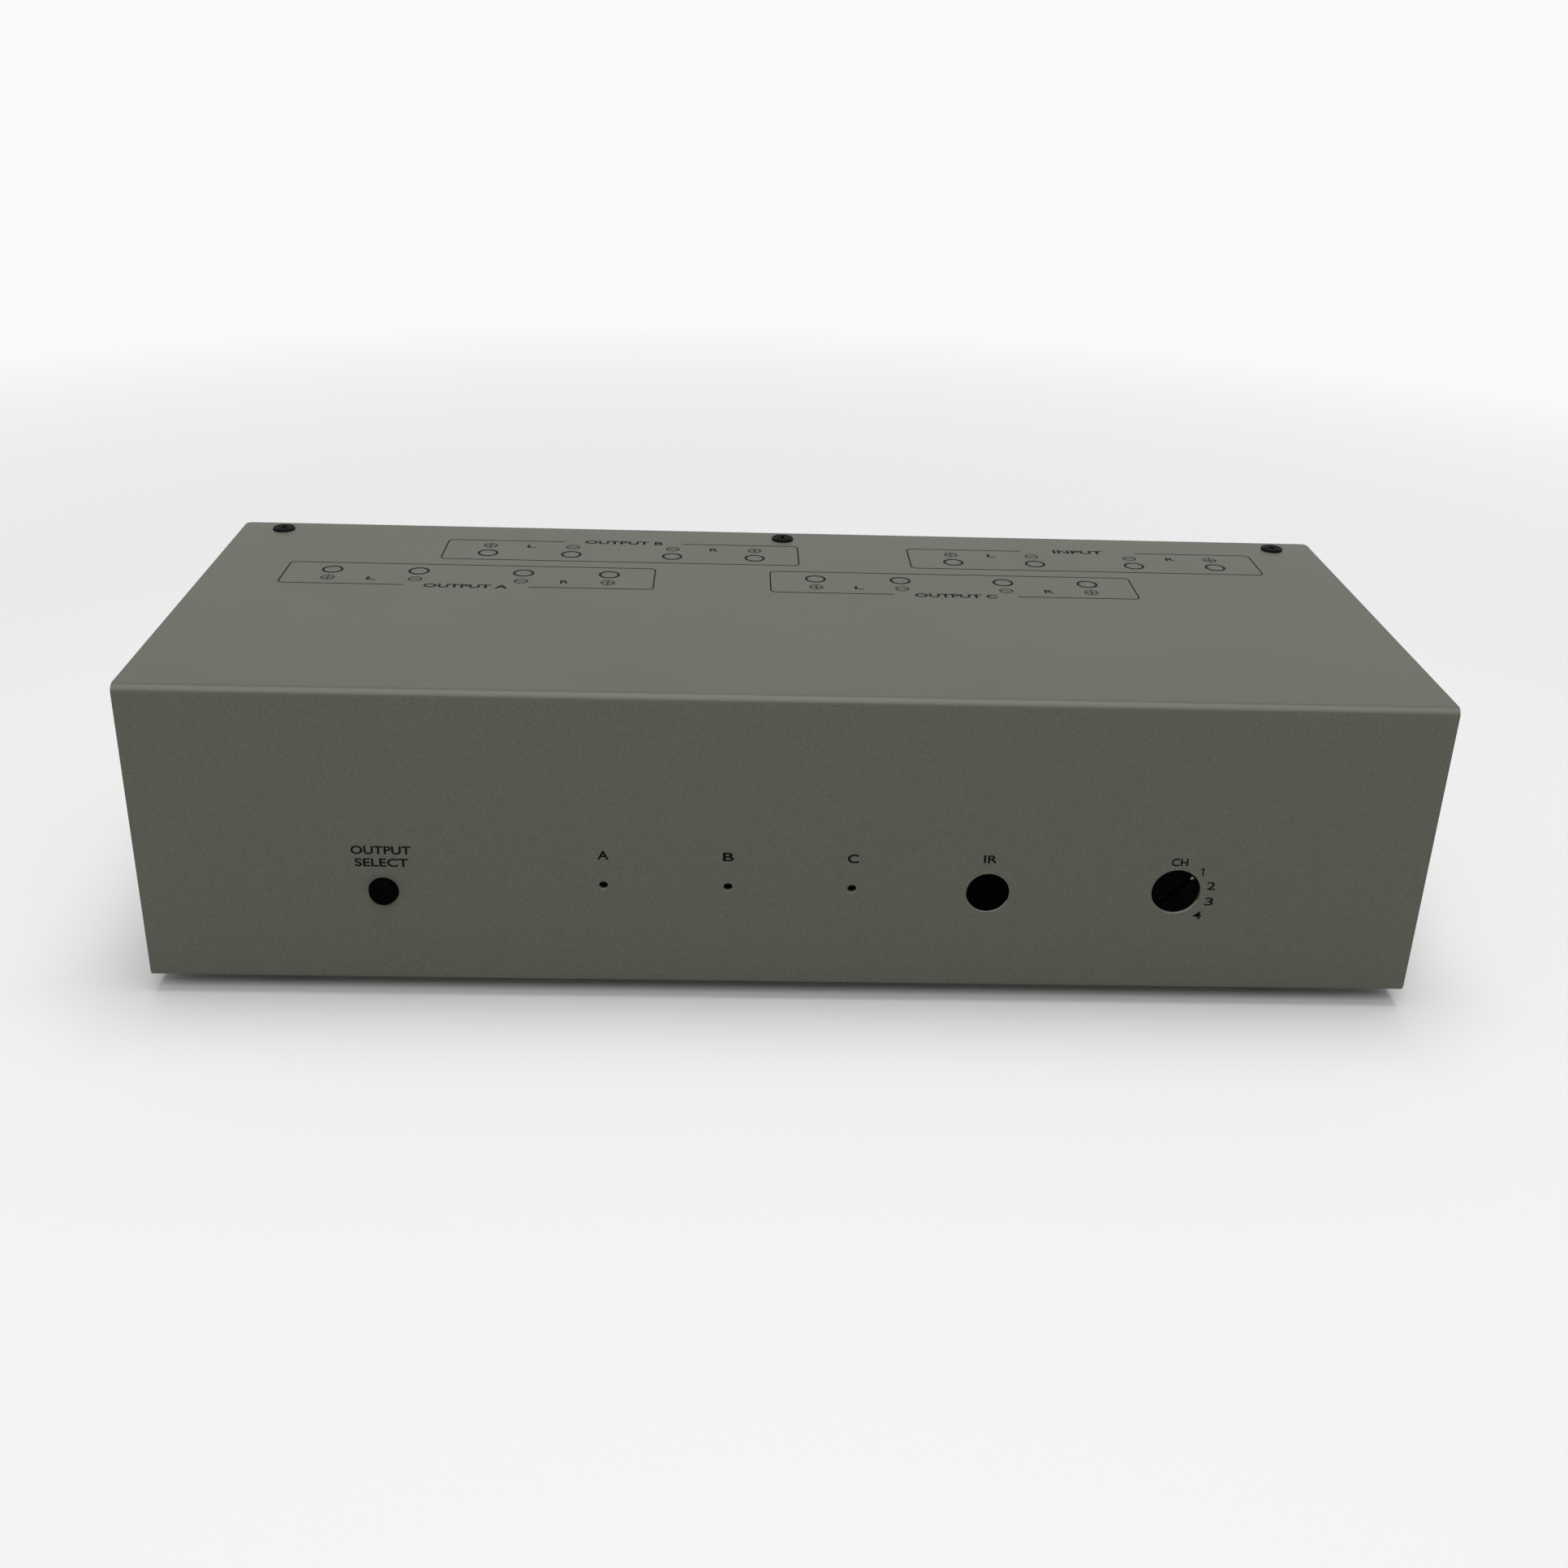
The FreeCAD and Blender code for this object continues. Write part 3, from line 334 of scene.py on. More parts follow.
MAP_WIDTH = 89.7 * MM
MAP_DEPTH = 15.8 * MM
MAP_CORNER = 1.5 * MM
MAP_LINE = 0.34 * MM
WORDS_GAP = 30 * MM
RING_RADIUS, RING_LINE = 2.6 * MM, 0.6 * MM
SIGN_RADIUS, SIGN_LINE = 1.7 * MM, 0.26 * MM
RING_ROW = 2.5 * MM
SIGN_ROW = 3.5 * MM
LETTER_OFFSET = 23.2 * MM
LETTER_WIDTH = 2.2 * MM
POST_OFFSETS = {
    "left_plus": -33.6 * MM,
    "left_minus": -12.7 * MM,
    "right_minus": 12.7 * MM,
    "right_plus": 33.6 * MM,
}
# Each map: its words and their width, its middle, its distance from the front, and whether the
# words break its near line, -1, or its far line, 1.
MAPS = {
    "a": {"words": "OUTPUT A", "width": 20 * MM,
          "middle": -76.7 * MM, "depth": 73.3 * MM, "side": -1},
    "b": {"words": "OUTPUT B", "width": 20 * MM,
          "middle": -41 * MM, "depth": 93.5 * MM, "side": 1},
    "c": {"words": "OUTPUT C", "width": 20 * MM,
          "middle": 41 * MM, "depth": 73.3 * MM, "side": -1},
    "input": {"words": "INPUT", "width": 13 * MM,
              "middle": 76.7 * MM, "depth": 93.5 * MM, "side": 1},
}


def map_border(x, y, side):
    """A rounded border of ink, open in one long side where its words stand."""
    border = printed_bar(x, y, MAP_WIDTH, MAP_DEPTH)
    bpy.ops.object.mode_set(mode="EDIT")
    bpy.ops.mesh.select_all(action="SELECT")
    bpy.ops.mesh.bevel(offset=MAP_CORNER, segments=6, affect="VERTICES")
    bpy.ops.object.mode_set(mode="OBJECT")
    hollowed(border, MAP_LINE)
    for end in (x - WORDS_GAP / 2, x + WORDS_GAP / 2):
        bpy.ops.object.mode_set(mode="EDIT")
        bpy.ops.mesh.select_all(action="SELECT")
        bpy.ops.mesh.bisect(plane_co=(end, y, 0), plane_no=(1, 0, 0))
        bpy.ops.object.mode_set(mode="OBJECT")
    for face in border.data.polygons:
        in_gap = abs(face.center.x - x) < WORDS_GAP / 2
        face.select = in_gap and side * (face.center.y - y) > 0
    bpy.ops.object.mode_set(mode="EDIT")
    bpy.ops.mesh.select_mode(type="FACE")
    bpy.ops.mesh.delete(type="FACE")
    bpy.ops.mesh.select_mode(type="VERT")
    bpy.ops.object.mode_set(mode="OBJECT")
    return border


def sign(x, y, plus):
    """A small ringed plus or minus."""
    reach = 2 * (SIGN_RADIUS - SIGN_LINE)
    marks = [printed_ring(x, y, SIGN_RADIUS, SIGN_LINE), printed_bar(x, y, reach, SIGN_LINE)]
    if plus:
        marks.append(printed_bar(x, y, SIGN_LINE, reach))
    return marks


for key, zone in MAPS.items():
    x, y, side = zone["middle"], zone["depth"], zone["side"]
    words_y = y + side * MAP_DEPTH / 2
    parts = [map_border(x, y, side),
             printed_words(zone["words"], x, words_y, height=2.5 * MM, width=zone["width"],
                           bold=0.025)]
    for post, offset in POST_OFFSETS.items():
        parts.append(printed_ring(x + offset, y - side * RING_ROW, RING_RADIUS, RING_LINE))
        parts += sign(x + offset, y + side * SIGN_ROW, "plus" in post)
    for letter, way in (("L", -1), ("R", 1)):
        place = (x + way * LETTER_OFFSET, y + side * SIGN_ROW)
        parts.append(printed_words(letter, *place, height=2.2 * MM, width=LETTER_WIDTH))
    printing(f"top_map_{key}", parts, "top", TOP_INK)


# The tray and the rear panel: folded from the same steel as the cover and painted with it.
# The rear panel's own printing is pale, names each group of posts and marks left and right.
coat("base_tray", PAINT)
coat("rear_panel", PAINT)
UPPER_ROW = 48 * MM
LOWER_ROW = 22 * MM
ROWS = {"a": UPPER_ROW, "b": LOWER_ROW, "c": UPPER_ROW, "input": LOWER_ROW}
ABOVE_POSTS = 10.6 * MM
INLET_X = -108 * MM
INLET_HEIGHT = 20 * MM
ABOVE_INLET = 13.6 * MM
# The rear is printed as it is read from behind, so left and right change places.
rear_words = [printed_words("AC", -INLET_X, INLET_HEIGHT + ABOVE_INLET,
                            height=2.0 * MM, width=4.0 * MM)]
for key, zone in MAPS.items():
    x, z = -zone["middle"], ROWS[key] + ABOVE_POSTS
    rear_words.append(printed_words(zone["words"], x, z, height=2.2 * MM, width=zone["width"],
                                    bold=0.04))
    for letter, way in (("L", 1), ("R", -1)):
        place = (x + way * LETTER_OFFSET, z)
        rear_words.append(printed_words(letter, *place, height=2.4 * MM, width=LETTER_WIDTH))
    for post, offset in POST_OFFSETS.items():
        rear_words += sign(x - offset, z, "plus" in post)
printing("rear_printing", rear_words, "rear", REAR_INK)


# The case screws: small pan-head steel screws, blackened, with a cross recess for the driver.
# One kind holds the cover, the rear panel, the feet, the inlet, the control bracket and two of
# the boards.
def blackened_steel():
    material, tree, shader, place = new_material("blackened_steel", roughness=0.6, specular=0.03)
    clouded(tree, place, shader, 0.6 * MM, grey(0.003), grey(0.009))
    vary(tree, noise(tree, place, 1.5 * MM), 0.5, 0.7, shader.inputs["Roughness"])
    relief(tree, shader, noise(tree, place, 0.15 * MM), 0.01 * MM, 0.4)
    return material


BLACK_STEEL = blackened_steel()
HEAD_RADIUS = 2.8 * MM
HEAD_HEIGHT = 0.7 * MM
HEAD_CROWN = 9 * MM
HEAD_EDGE = 0.3 * MM
SHANK_RADIUS = 1.5 * MM
SHANK_LENGTH = 6 * MM
SCREW_PITCH = 0.5 * MM
SCREW_THREAD_START = 0.3 * MM
SCREW_THREAD_DEPTH = 0.25 * MM
SCREW_TURNS = 10
TIP_LENGTH = 0.6 * MM
TIP_NARROWS = 0.5 * MM
CROSS_LENGTH = 2.6 * MM
CROSS_WIDTH = 0.55 * MM
CROSS_CUT = 1.8 * MM


def turned(name, profile, sides=48, ring=False):
    """A turned piece about the Z axis: a circle drawn out along a profile of (radius, height)."""
    no_selection()
    radius, height = profile[0]
    bpy.ops.mesh.primitive_circle_add(vertices=sides, radius=radius,
                                      fill_type="NOTHING" if ring else "NGON")
    piece = bpy.context.object
    piece.name = name
    bpy.ops.object.mode_set(mode="EDIT")
    bpy.ops.mesh.select_all(action="SELECT")
    bpy.ops.transform.translate(value=(0, 0, height))
    for next_radius, next_height in profile[1:] + (profile[:1] if ring else []):
        bpy.ops.mesh.extrude_region_move(
            TRANSFORM_OT_translate={"value": (0, 0, next_height - height)})
        wider = next_radius / radius
        bpy.ops.transform.resize(value=(wider, wider, 1), center_override=(0, 0, next_height))
        radius, height = next_radius, next_height
    bpy.ops.mesh.select_all(action="SELECT")
    bpy.ops.mesh.remove_doubles(threshold=1e-6)
    bpy.ops.mesh.normals_make_consistent(inside=False)
    bpy.ops.object.mode_set(mode="OBJECT")
    bpy.ops.object.shade_smooth_by_angle(angle=math.radians(35))
    return piece


def rounded(corner, radius, start, end, steps=5):
    """Profile points round a corner's centre, from one angle to another in degrees."""
    turns = [math.radians(start + (end - start) * i / steps) for i in range(steps + 1)]
    return [(corner[0] + radius * math.cos(a), corner[1] + radius * math.sin(a)) for a in turns]


def carved(piece, cutter):
    """Cut one piece from another and throw the cutter away."""
    no_selection()
    bpy.context.view_layer.objects.active = piece
    piece.select_set(True)
    carve = piece.modifiers.new("carve", "BOOLEAN")
    carve.object = cutter
    carve.operation = "DIFFERENCE"
    carve.solver = "EXACT"
    bpy.ops.object.modifier_apply(modifier="carve")
    bpy.data.objects.remove(cutter, do_unlink=True)


def slot_cutter(x_size, y_size, z_size, middle):
    """A plain block that a slot is cut with."""
    no_selection()
    bpy.ops.mesh.primitive_cube_add(size=1, location=middle)
    cutter = bpy.context.object
    cutter.scale = (x_size, y_size, z_size)
    bpy.ops.object.transform_apply(location=True, rotation=False, scale=True)
    return cutter


def copies(name, pattern, places):
    """One piece that holds a copy of the pattern at each place."""
    made = []
    for place in places:
        twin = pattern.copy()
        twin.data = pattern.data.copy()
        bpy.context.collection.objects.link(twin)
        twin.data.transform(place)
        made.append(twin)
    no_selection()
    for twin in made:
        twin.select_set(True)
    bpy.context.view_layer.objects.active = made[0]
    if len(made) > 1:
        bpy.ops.object.join()
    piece = bpy.context.object
    piece.name = name
    return piece


def finished(piece, material, body, node):
    """Give a new piece its finish and let it stand for a node of the frame."""
    piece.data.materials.clear()
    piece.data.materials.append(material)
    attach(piece, body)
    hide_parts(node)


def case_screw():
    """A screw with its head's seat at the origin and its shank along +Z."""
    dome = rounded((0, -HEAD_HEIGHT + HEAD_CROWN), HEAD_CROWN, -86, -75, 4)
    rim = rounded((HEAD_RADIUS - HEAD_EDGE, -HEAD_EDGE), HEAD_EDGE, -60, 0, 4)
    thread = []
    for i in range(SCREW_TURNS):
        start = SCREW_THREAD_START + i * SCREW_PITCH
        thread.append((SHANK_RADIUS, start))
        thread.append((SHANK_RADIUS - SCREW_THREAD_DEPTH, start + SCREW_PITCH / 2))
    tip = [(SHANK_RADIUS, SHANK_LENGTH - TIP_LENGTH), (SHANK_RADIUS - TIP_NARROWS, SHANK_LENGTH)]
    screw = turned("screw", dome + rim + [(HEAD_RADIUS, 0)] + thread + tip, 32)
    for x_size, y_size in ((CROSS_LENGTH, CROSS_WIDTH), (CROSS_WIDTH, CROSS_LENGTH)):
        carved(screw, slot_cutter(x_size, y_size, CROSS_CUT, (0, 0, -HEAD_HEIGHT)))
    # The cross is wider and deeper at its heart, where the driver's tip goes.
    heart = turned("heart", [(0.7 * MM, -HEAD_HEIGHT - 0.1 * MM), (0.25 * MM, 0.35 * MM)], 24)
    carved(screw, heart)
    return screw


REARWARD = Matrix.Rotation(-math.pi / 2, 4, "X")
UPWARD = Matrix()
DOWNWARD = Matrix.Rotation(math.pi, 4, "X")
SHEET = 1.2 * MM
TOP_SCREWS_X = (-129.2 * MM, 0, 129.2 * MM)
RETURN_SCREWS_X = (-110 * MM, 110 * MM)
FLANGE_SCREWS_X = (-120 * MM, 120 * MM)
BRACKET_SCREWS_X = (-60 * MM, 60 * MM)
CONTROL_BOARD_SCREWS_X, CONTROL_BOARD_SCREWS_Z = (-98 * MM, 98 * MM), (14 * MM, 30 * MM)
MAIN_BOARD_SCREWS_X, MAIN_BOARD_SCREWS_Y = (-123.5 * MM, 25.5 * MM), (38.5 * MM, 79.5 * MM)
INLET_FLANGE = 2 * MM
INLET_SCREWS_APART = 30 * MM
feet_low, feet_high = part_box("rubber_feet")
FOOT_RADIUS = 7 * MM
FOOT_SEAT = 2.6 * MM
FOOT_X = (feet_low[0] + FOOT_RADIUS, feet_high[0] - FOOT_RADIUS)
FOOT_Y = (feet_low[1] + FOOT_RADIUS, feet_high[1] - FOOT_RADIUS)


def screw_places():
    """A matrix for each screw, with its seat and the way its shank points."""
    tray = base_z + SHEET
    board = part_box("control_board")[0][1]
    main_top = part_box("main_board")[1][2]
    top_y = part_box("front_top_cover")[1][1] - 5.5 * MM
    return_y = front_y + 7 * MM
    flange_y = rear_y - 6 * MM
    bracket_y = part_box("control_bracket")[1][1] - 5 * MM
    inlet_y, inlet_z = rear_y + INLET_FLANGE, base_z + INLET_HEIGHT
    places = [((x, top_y, top_z), DOWNWARD) for x in TOP_SCREWS_X]
    places += [((x, return_y, base_z), UPWARD) for x in RETURN_SCREWS_X]
    places += [((x, flange_y, tray), UPWARD) for x in FLANGE_SCREWS_X]
    places += [((x, y, FOOT_SEAT), UPWARD) for x in FOOT_X for y in FOOT_Y]
    places += [((x, bracket_y, tray), UPWARD) for x in BRACKET_SCREWS_X]
    places += [((x, board, base_z + z), REARWARD)
               for x in CONTROL_BOARD_SCREWS_X for z in CONTROL_BOARD_SCREWS_Z]
    places += [((x, front_y + y, main_top), DOWNWARD)
               for x in MAIN_BOARD_SCREWS_X for y in MAIN_BOARD_SCREWS_Y]
    places += [((INLET_X + side * INLET_SCREWS_APART / 2, inlet_y, inlet_z), FORWARD)
               for side in (-1, 1)]
    return [Matrix.Translation(seat) @ turn for seat, turn in places]


screw_pattern = case_screw()
screws = copies("case_screws", screw_pattern, screw_places())
bpy.data.objects.remove(screw_pattern, do_unlink=True)
finished(screws, BLACK_STEEL, "case", "pan_head_screws")


# The feet: four moulded discs of black rubber, each with a recess for its screw's head.
# The edge that meets the shelf is well rounded.
def foot_rubber():
    material, tree, shader, place = new_material("foot_rubber", roughness=0.8, specular=0.3)
    clouded(tree, place, shader, 2 * MM, grey(0.012), (0.022, 0.022, 0.021, 1))
    relief(tree, shader, noise(tree, place, 0.25 * MM, detail=4), 0.03 * MM, 0.5)
    return material


FOOT_HOLE = 1.55 * MM
RECESS_RADIUS = 3.4 * MM
RECESS_EDGE = 0.5 * MM
FOOT_EDGE = 1.2 * MM
foot_top = feet_high[2]
foot_profile = (
    [(FOOT_HOLE, foot_top), (FOOT_HOLE, FOOT_SEAT), (RECESS_RADIUS, FOOT_SEAT)]
    + rounded((RECESS_RADIUS + RECESS_EDGE, RECESS_EDGE), RECESS_EDGE, 180, 270)
    + rounded((FOOT_RADIUS - FOOT_EDGE, FOOT_EDGE), FOOT_EDGE, -90, 0)
    + [(FOOT_RADIUS, foot_top)]
)
foot_pattern = turned("foot", foot_profile, ring=True)
feet = copies("rubber_foot_set", foot_pattern,
              [Matrix.Translation((x, y, 0)) for x in FOOT_X for y in FOOT_Y])
bpy.data.objects.remove(foot_pattern, do_unlink=True)
finished(feet, foot_rubber(), "case", "rubber_feet")


# The push button: a moulded black cap with a crowned face, pushed on the stem of its switch.
# Its black has little gloss. The switches behind the front are in an ordinary moulded black.
def moulded_black(name, roughness, grain, light=0.0016, specular=0.008):
    material, tree, shader, place = new_material(name, roughness, specular=specular)
    clouded(tree, place, shader, 2 * MM, grey(0.3 * light), grey(light))
    worn = noise(tree, place, 1 * MM)
    vary(tree, worn, roughness - 0.06, roughness + 0.06, shader.inputs["Roughness"])
    relief(tree, shader, noise(tree, place, grain), 0.01 * MM, 0.4)
    return material


BUTTON_BLACK = moulded_black("button_black", roughness=0.34, grain=0.2 * MM)
BUTTON_HEIGHT = 22.45 * MM
BUTTON_CROWN = 9 * MM
BUTTON_EDGE = 0.45 * MM
BUTTON_BEVEL = 0.1 * MM
STEM_HOLE_RADIUS = 1.8 * MM
STEM_HOLE_DEPTH = 4.5 * MM
button_low, button_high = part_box("select_button")
button_radius = (button_high[0] - button_low[0]) / 2
button_length = button_high[1] - button_low[1]
button_profile = (
    rounded((0, button_length - BUTTON_CROWN), BUTTON_CROWN, 87, 73)
    + rounded((button_radius - BUTTON_EDGE, button_length - 2 * BUTTON_EDGE), BUTTON_EDGE, 60, 0)
    + [(button_radius, BUTTON_BEVEL), (button_radius - BUTTON_BEVEL, 0), (STEM_HOLE_RADIUS, 0),
       (STEM_HOLE_RADIUS, STEM_HOLE_DEPTH)]
)
button = turned("push_button", button_profile, 64)
button_seat = (BUTTON_X, button_high[1], base_z + BUTTON_HEIGHT)
button.data.transform(Matrix.Translation(button_seat) @ FORWARD)
finished(button, BUTTON_BLACK, "button", "select_button")
SWITCH_BLACK = moulded_black("switch_black", roughness=0.5, grain=0.3 * MM, light=0.02,
                             specular=0.4)
coat("switch_plunger", SWITCH_BLACK)
coat("button_switch", SWITCH_BLACK)
coat("rotary_switch", SWITCH_BLACK)


# The dial: a moulded black disc, a little below the panel's face, with a slot for a screwdriver.
# A wedge of pale paint at its rim points at one of the four digits.
dial_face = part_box("channel_rotor")[0][1]
DIAL_RADIUS = 5.1 * MM
DIAL_EDGE = 0.25 * MM
DIAL_THICKNESS = 3.7 * MM
DIAL_STEM_RADIUS = 2 * MM
DIAL_STEM_LENGTH = 4 * MM
DIAL_SLOT = 1.0 * MM
DIAL_SLOT_LENGTH = 8.0 * MM
DIAL_SLOT_DEPTH = 1.2 * MM
dial_place = (Matrix.Translation((DIAL_X, dial_face, base_z + DIAL_HEIGHT)) @ FORWARD
              @ Matrix.Rotation(math.radians(45), 4, "Z"))
dial_profile = (
    rounded((DIAL_RADIUS - DIAL_EDGE, -DIAL_EDGE), DIAL_EDGE, 90, 0, 4)
    + [(DIAL_RADIUS, -DIAL_THICKNESS), (DIAL_STEM_RADIUS, -DIAL_THICKNESS),
       (DIAL_STEM_RADIUS, -DIAL_THICKNESS - DIAL_STEM_LENGTH)]
)
dial = turned("slotted_dial", dial_profile, 72)
carved(dial, slot_cutter(DIAL_SLOT_LENGTH, DIAL_SLOT, 2 * DIAL_SLOT_DEPTH, (0, 0, 0)))
bpy.context.view_layer.objects.active = dial
soft = dial.modifiers.new("soft_edges", "BEVEL")
soft.width = 0.08 * MM
soft.segments = 2
soft.limit_method = "ANGLE"
bpy.ops.object.modifier_apply(modifier="soft_edges")
dial.data.transform(dial_place)
DIAL_BLACK = moulded_black("dial_black", roughness=0.42, grain=0.25 * MM)
finished(dial, DIAL_BLACK, "dial", "channel_rotor")


def pointer_paint():
    material, tree, shader, place = new_material("pointer_paint", roughness=0.5)
    clouded(tree, place, shader, 0.3 * MM, (0.13, 0.135, 0.12, 1), (0.2, 0.205, 0.19, 1))
    return material


WEDGE_RADIUS = 0.6 * MM
WEDGE_FROM_AXIS = 4.6 * MM
WEDGE_DEPTH = 0.3 * MM
PAINT_PROUD = 0.03 * MM


def dial_pointer():
    """A small wedge of paint between the slot's end and the rim, narrow towards the middle."""
    no_selection()
    bpy.ops.mesh.primitive_circle_add(vertices=3, radius=WEDGE_RADIUS, fill_type="NGON")
    wedge = bpy.context.object
    wedge.name = "dial_pointer"
    point_in = Matrix.Diagonal((0.9, 0.85, 1, 1)) @ Matrix.Rotation(math.pi / 2, 4, "Z")
    wedge.data.transform(Matrix.Translation((WEDGE_FROM_AXIS, 0, -WEDGE_DEPTH)) @ point_in)
    bpy.ops.object.mode_set(mode="EDIT")
    bpy.ops.mesh.select_all(action="SELECT")
    bpy.ops.mesh.extrude_region_move(
        TRANSFORM_OT_translate={"value": (0, 0, WEDGE_DEPTH + PAINT_PROUD)})
    bpy.ops.mesh.select_all(action="SELECT")
    bpy.ops.mesh.normals_make_consistent(inside=False)
    bpy.ops.object.mode_set(mode="OBJECT")
    wedge.data.transform(dial_place)
    return wedge


pointer = dial_pointer()
pointer.data.materials.append(pointer_paint())
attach(pointer, "dial")


# The receiver window: a dark tinted plastic lens pressed in from behind, its flange on the panel.
# The lamps behind the three small holes are off, and look as dark as the holes.
def tinted_plastic():
    material, tree, shader, place = new_material("tinted_plastic", roughness=0.2, specular=0.006)
    clouded(tree, place, shader, 4 * MM, grey(0.0003), (0.001, 0.0006, 0.0006, 1))
    vary(tree, noise(tree, place, 2 * MM), 0.16, 0.26, shader.inputs["Roughness"])
    return material


TINTED = tinted_plastic()
LENS_RADIUS = 4.7 * MM
LENS_EDGE = 0.2 * MM
LENS_FLANGE_RADIUS = 6 * MM
LENS_FLANGE = 1.5 * MM
window_low, window_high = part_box("receiver_window")
window_length = window_high[1] - window_low[1]
window_profile = (
    rounded((LENS_RADIUS - LENS_EDGE, window_length - LENS_EDGE), LENS_EDGE, 90, 0, 4)
    + [(LENS_RADIUS, LENS_FLANGE), (LENS_FLANGE_RADIUS, LENS_FLANGE), (LENS_FLANGE_RADIUS, 0)]
)
window = turned("window_lens", window_profile, 64)
window_z = (window_low[2] + window_high[2]) / 2
window.data.transform(Matrix.Translation((WINDOW_X, window_high[1], window_z)) @ FORWARD)
finished(window, TINTED, "case", "receiver_window")
coat("infrared_receiver", TINTED)


def lamp_plastic():
    material, tree, shader, place = new_material("lamp_plastic", roughness=0.25, specular=0.1)
    clouded(tree, place, shader, 1 * MM, (0.004, 0.003, 0.003, 1), (0.01, 0.007, 0.006, 1))
    vary(tree, noise(tree, place, 0.5 * MM), 0.2, 0.35, shader.inputs["Roughness"])
    return material


coat("status_leds", lamp_plastic())


# The binding posts: a gold-plated brass stud with a plug socket down its middle and a wire hole
# across it, set in a plastic collar. A fluted cap runs on the stud's thread, over a washer.
def gold_plate():
    material, tree, shader, place = new_material("gold_plate", roughness=0.22, metallic=1.0)
    clouded(tree, place, shader, 3 * MM, (0.78, 0.53, 0.2, 1), (0.92, 0.68, 0.3, 1))
    brushed = noise(tree, place, 0.8 * MM, stretch=(1, 6, 1))
    vary(tree, brushed, 0.16, 0.32, shader.inputs["Roughness"])
    relief(tree, shader, noise(tree, place, 0.3 * MM), 0.004 * MM, 0.3)
    return material


def cap_plastic(name, dark, light):
    material, tree, shader, place = new_material(name, roughness=0.3, specular=0.45)
    clouded(tree, place, shader, 5 * MM, dark, light)
    vary(tree, noise(tree, place, 1.2 * MM), 0.24, 0.4, shader.inputs["Roughness"])
    relief(tree, shader, noise(tree, place, 0.3 * MM), 0.01 * MM, 0.3)
    return material


GOLD = gold_plate()
CAP_PLASTIC = {
    "plus": cap_plastic("red_cap", (0.32, 0.012, 0.01, 1), (0.4, 0.02, 0.016, 1)),
    "minus": cap_plastic("black_cap", grey(0.01), grey(0.018)),
}
post_places = {}
for key, zone in MAPS.items():
    for post, offset in POST_OFFSETS.items():
        spot = (zone["middle"] + offset, rear_y, base_z + ROWS[key])
        post_places[f"{key}_{post}"] = Matrix.Translation(spot) @ REARWARD

PIN_RADIUS, PIN_END = 1.4 * MM, -15.5 * MM
NECK_RADIUS, NECK_START = 3 * MM, -12 * MM
FLANGE_RADIUS, FLANGE_START, FLANGE_END = 6 * MM, 4 * MM, 6 * MM
THREAD_RADIUS, THREAD_START, THREAD_TURNS = 4 * MM, 7 * MM, 14
PITCH = 1 * MM
THREAD_DEPTH = 0.45 * MM
STUD_END = 22 * MM
STUD_EDGE = 0.3 * MM
MOUTH_EDGE = 0.5 * MM
SOCKET_RADIUS, SOCKET_END = 2 * MM, 4 * MM
WIRE_HOLE_RADIUS, WIRE_HOLE_FROM_PANEL = 1.5 * MM, 8.5 * MM


def stud_pattern():
    """A stud from its pin inside the case to its open end, with its thread under the cap."""
    undercut = THREAD_RADIUS - STUD_EDGE
    profile = [(PIN_RADIUS - STUD_EDGE, PIN_END), (PIN_RADIUS, PIN_END + STUD_EDGE),
               (PIN_RADIUS, NECK_START), (NECK_RADIUS, NECK_START), (NECK_RADIUS, FLANGE_START)]
    flange_edge = FLANGE_RADIUS - STUD_EDGE
    profile += rounded((flange_edge, FLANGE_START + STUD_EDGE), STUD_EDGE, -90, 0, 3)
    profile += rounded((flange_edge, FLANGE_END - STUD_EDGE), STUD_EDGE, 0, 90, 3)
    profile += [(undercut, FLANGE_END), (undercut, THREAD_START)]
    for i in range(THREAD_TURNS):
        low = THREAD_START + i * PITCH
        profile += [(THREAD_RADIUS, low + 0.45 * PITCH), (THREAD_RADIUS, low + 0.55 * PITCH),
                    (THREAD_RADIUS - THREAD_DEPTH, low + PITCH)]
    profile += [(THREAD_RADIUS - 0.1 * MM, STUD_END - 0.7 * MM)]
    profile += rounded((THREAD_RADIUS - 0.1 * MM - MOUTH_EDGE, STUD_END - MOUTH_EDGE),
                       MOUTH_EDGE, 0, 90, 4)
    profile += [(SOCKET_RADIUS + MOUTH_EDGE, STUD_END), (SOCKET_RADIUS, STUD_END - MOUTH_EDGE),
                (SOCKET_RADIUS, SOCKET_END)]
    stud = turned("stud", profile)
    no_selection()
    bpy.ops.mesh.primitive_cylinder_add(vertices=32, radius=WIRE_HOLE_RADIUS, depth=12 * MM)
    drill = bpy.context.object
    across = Matrix.Rotation(math.pi / 2, 4, "X")
    drill.data.transform(Matrix.Translation((0, 0, WIRE_HOLE_FROM_PANEL)) @ across)
    carved(stud, drill)
    bpy.context.view_layer.objects.active = stud
    stud.select_set(True)
    bpy.ops.object.shade_smooth_by_angle(angle=math.radians(35))
    return stud


stud = stud_pattern()
studs = copies("threaded_studs", stud, post_places.values())
bpy.data.objects.remove(stud, do_unlink=True)
finished(studs, GOLD, "case", "post_studs")

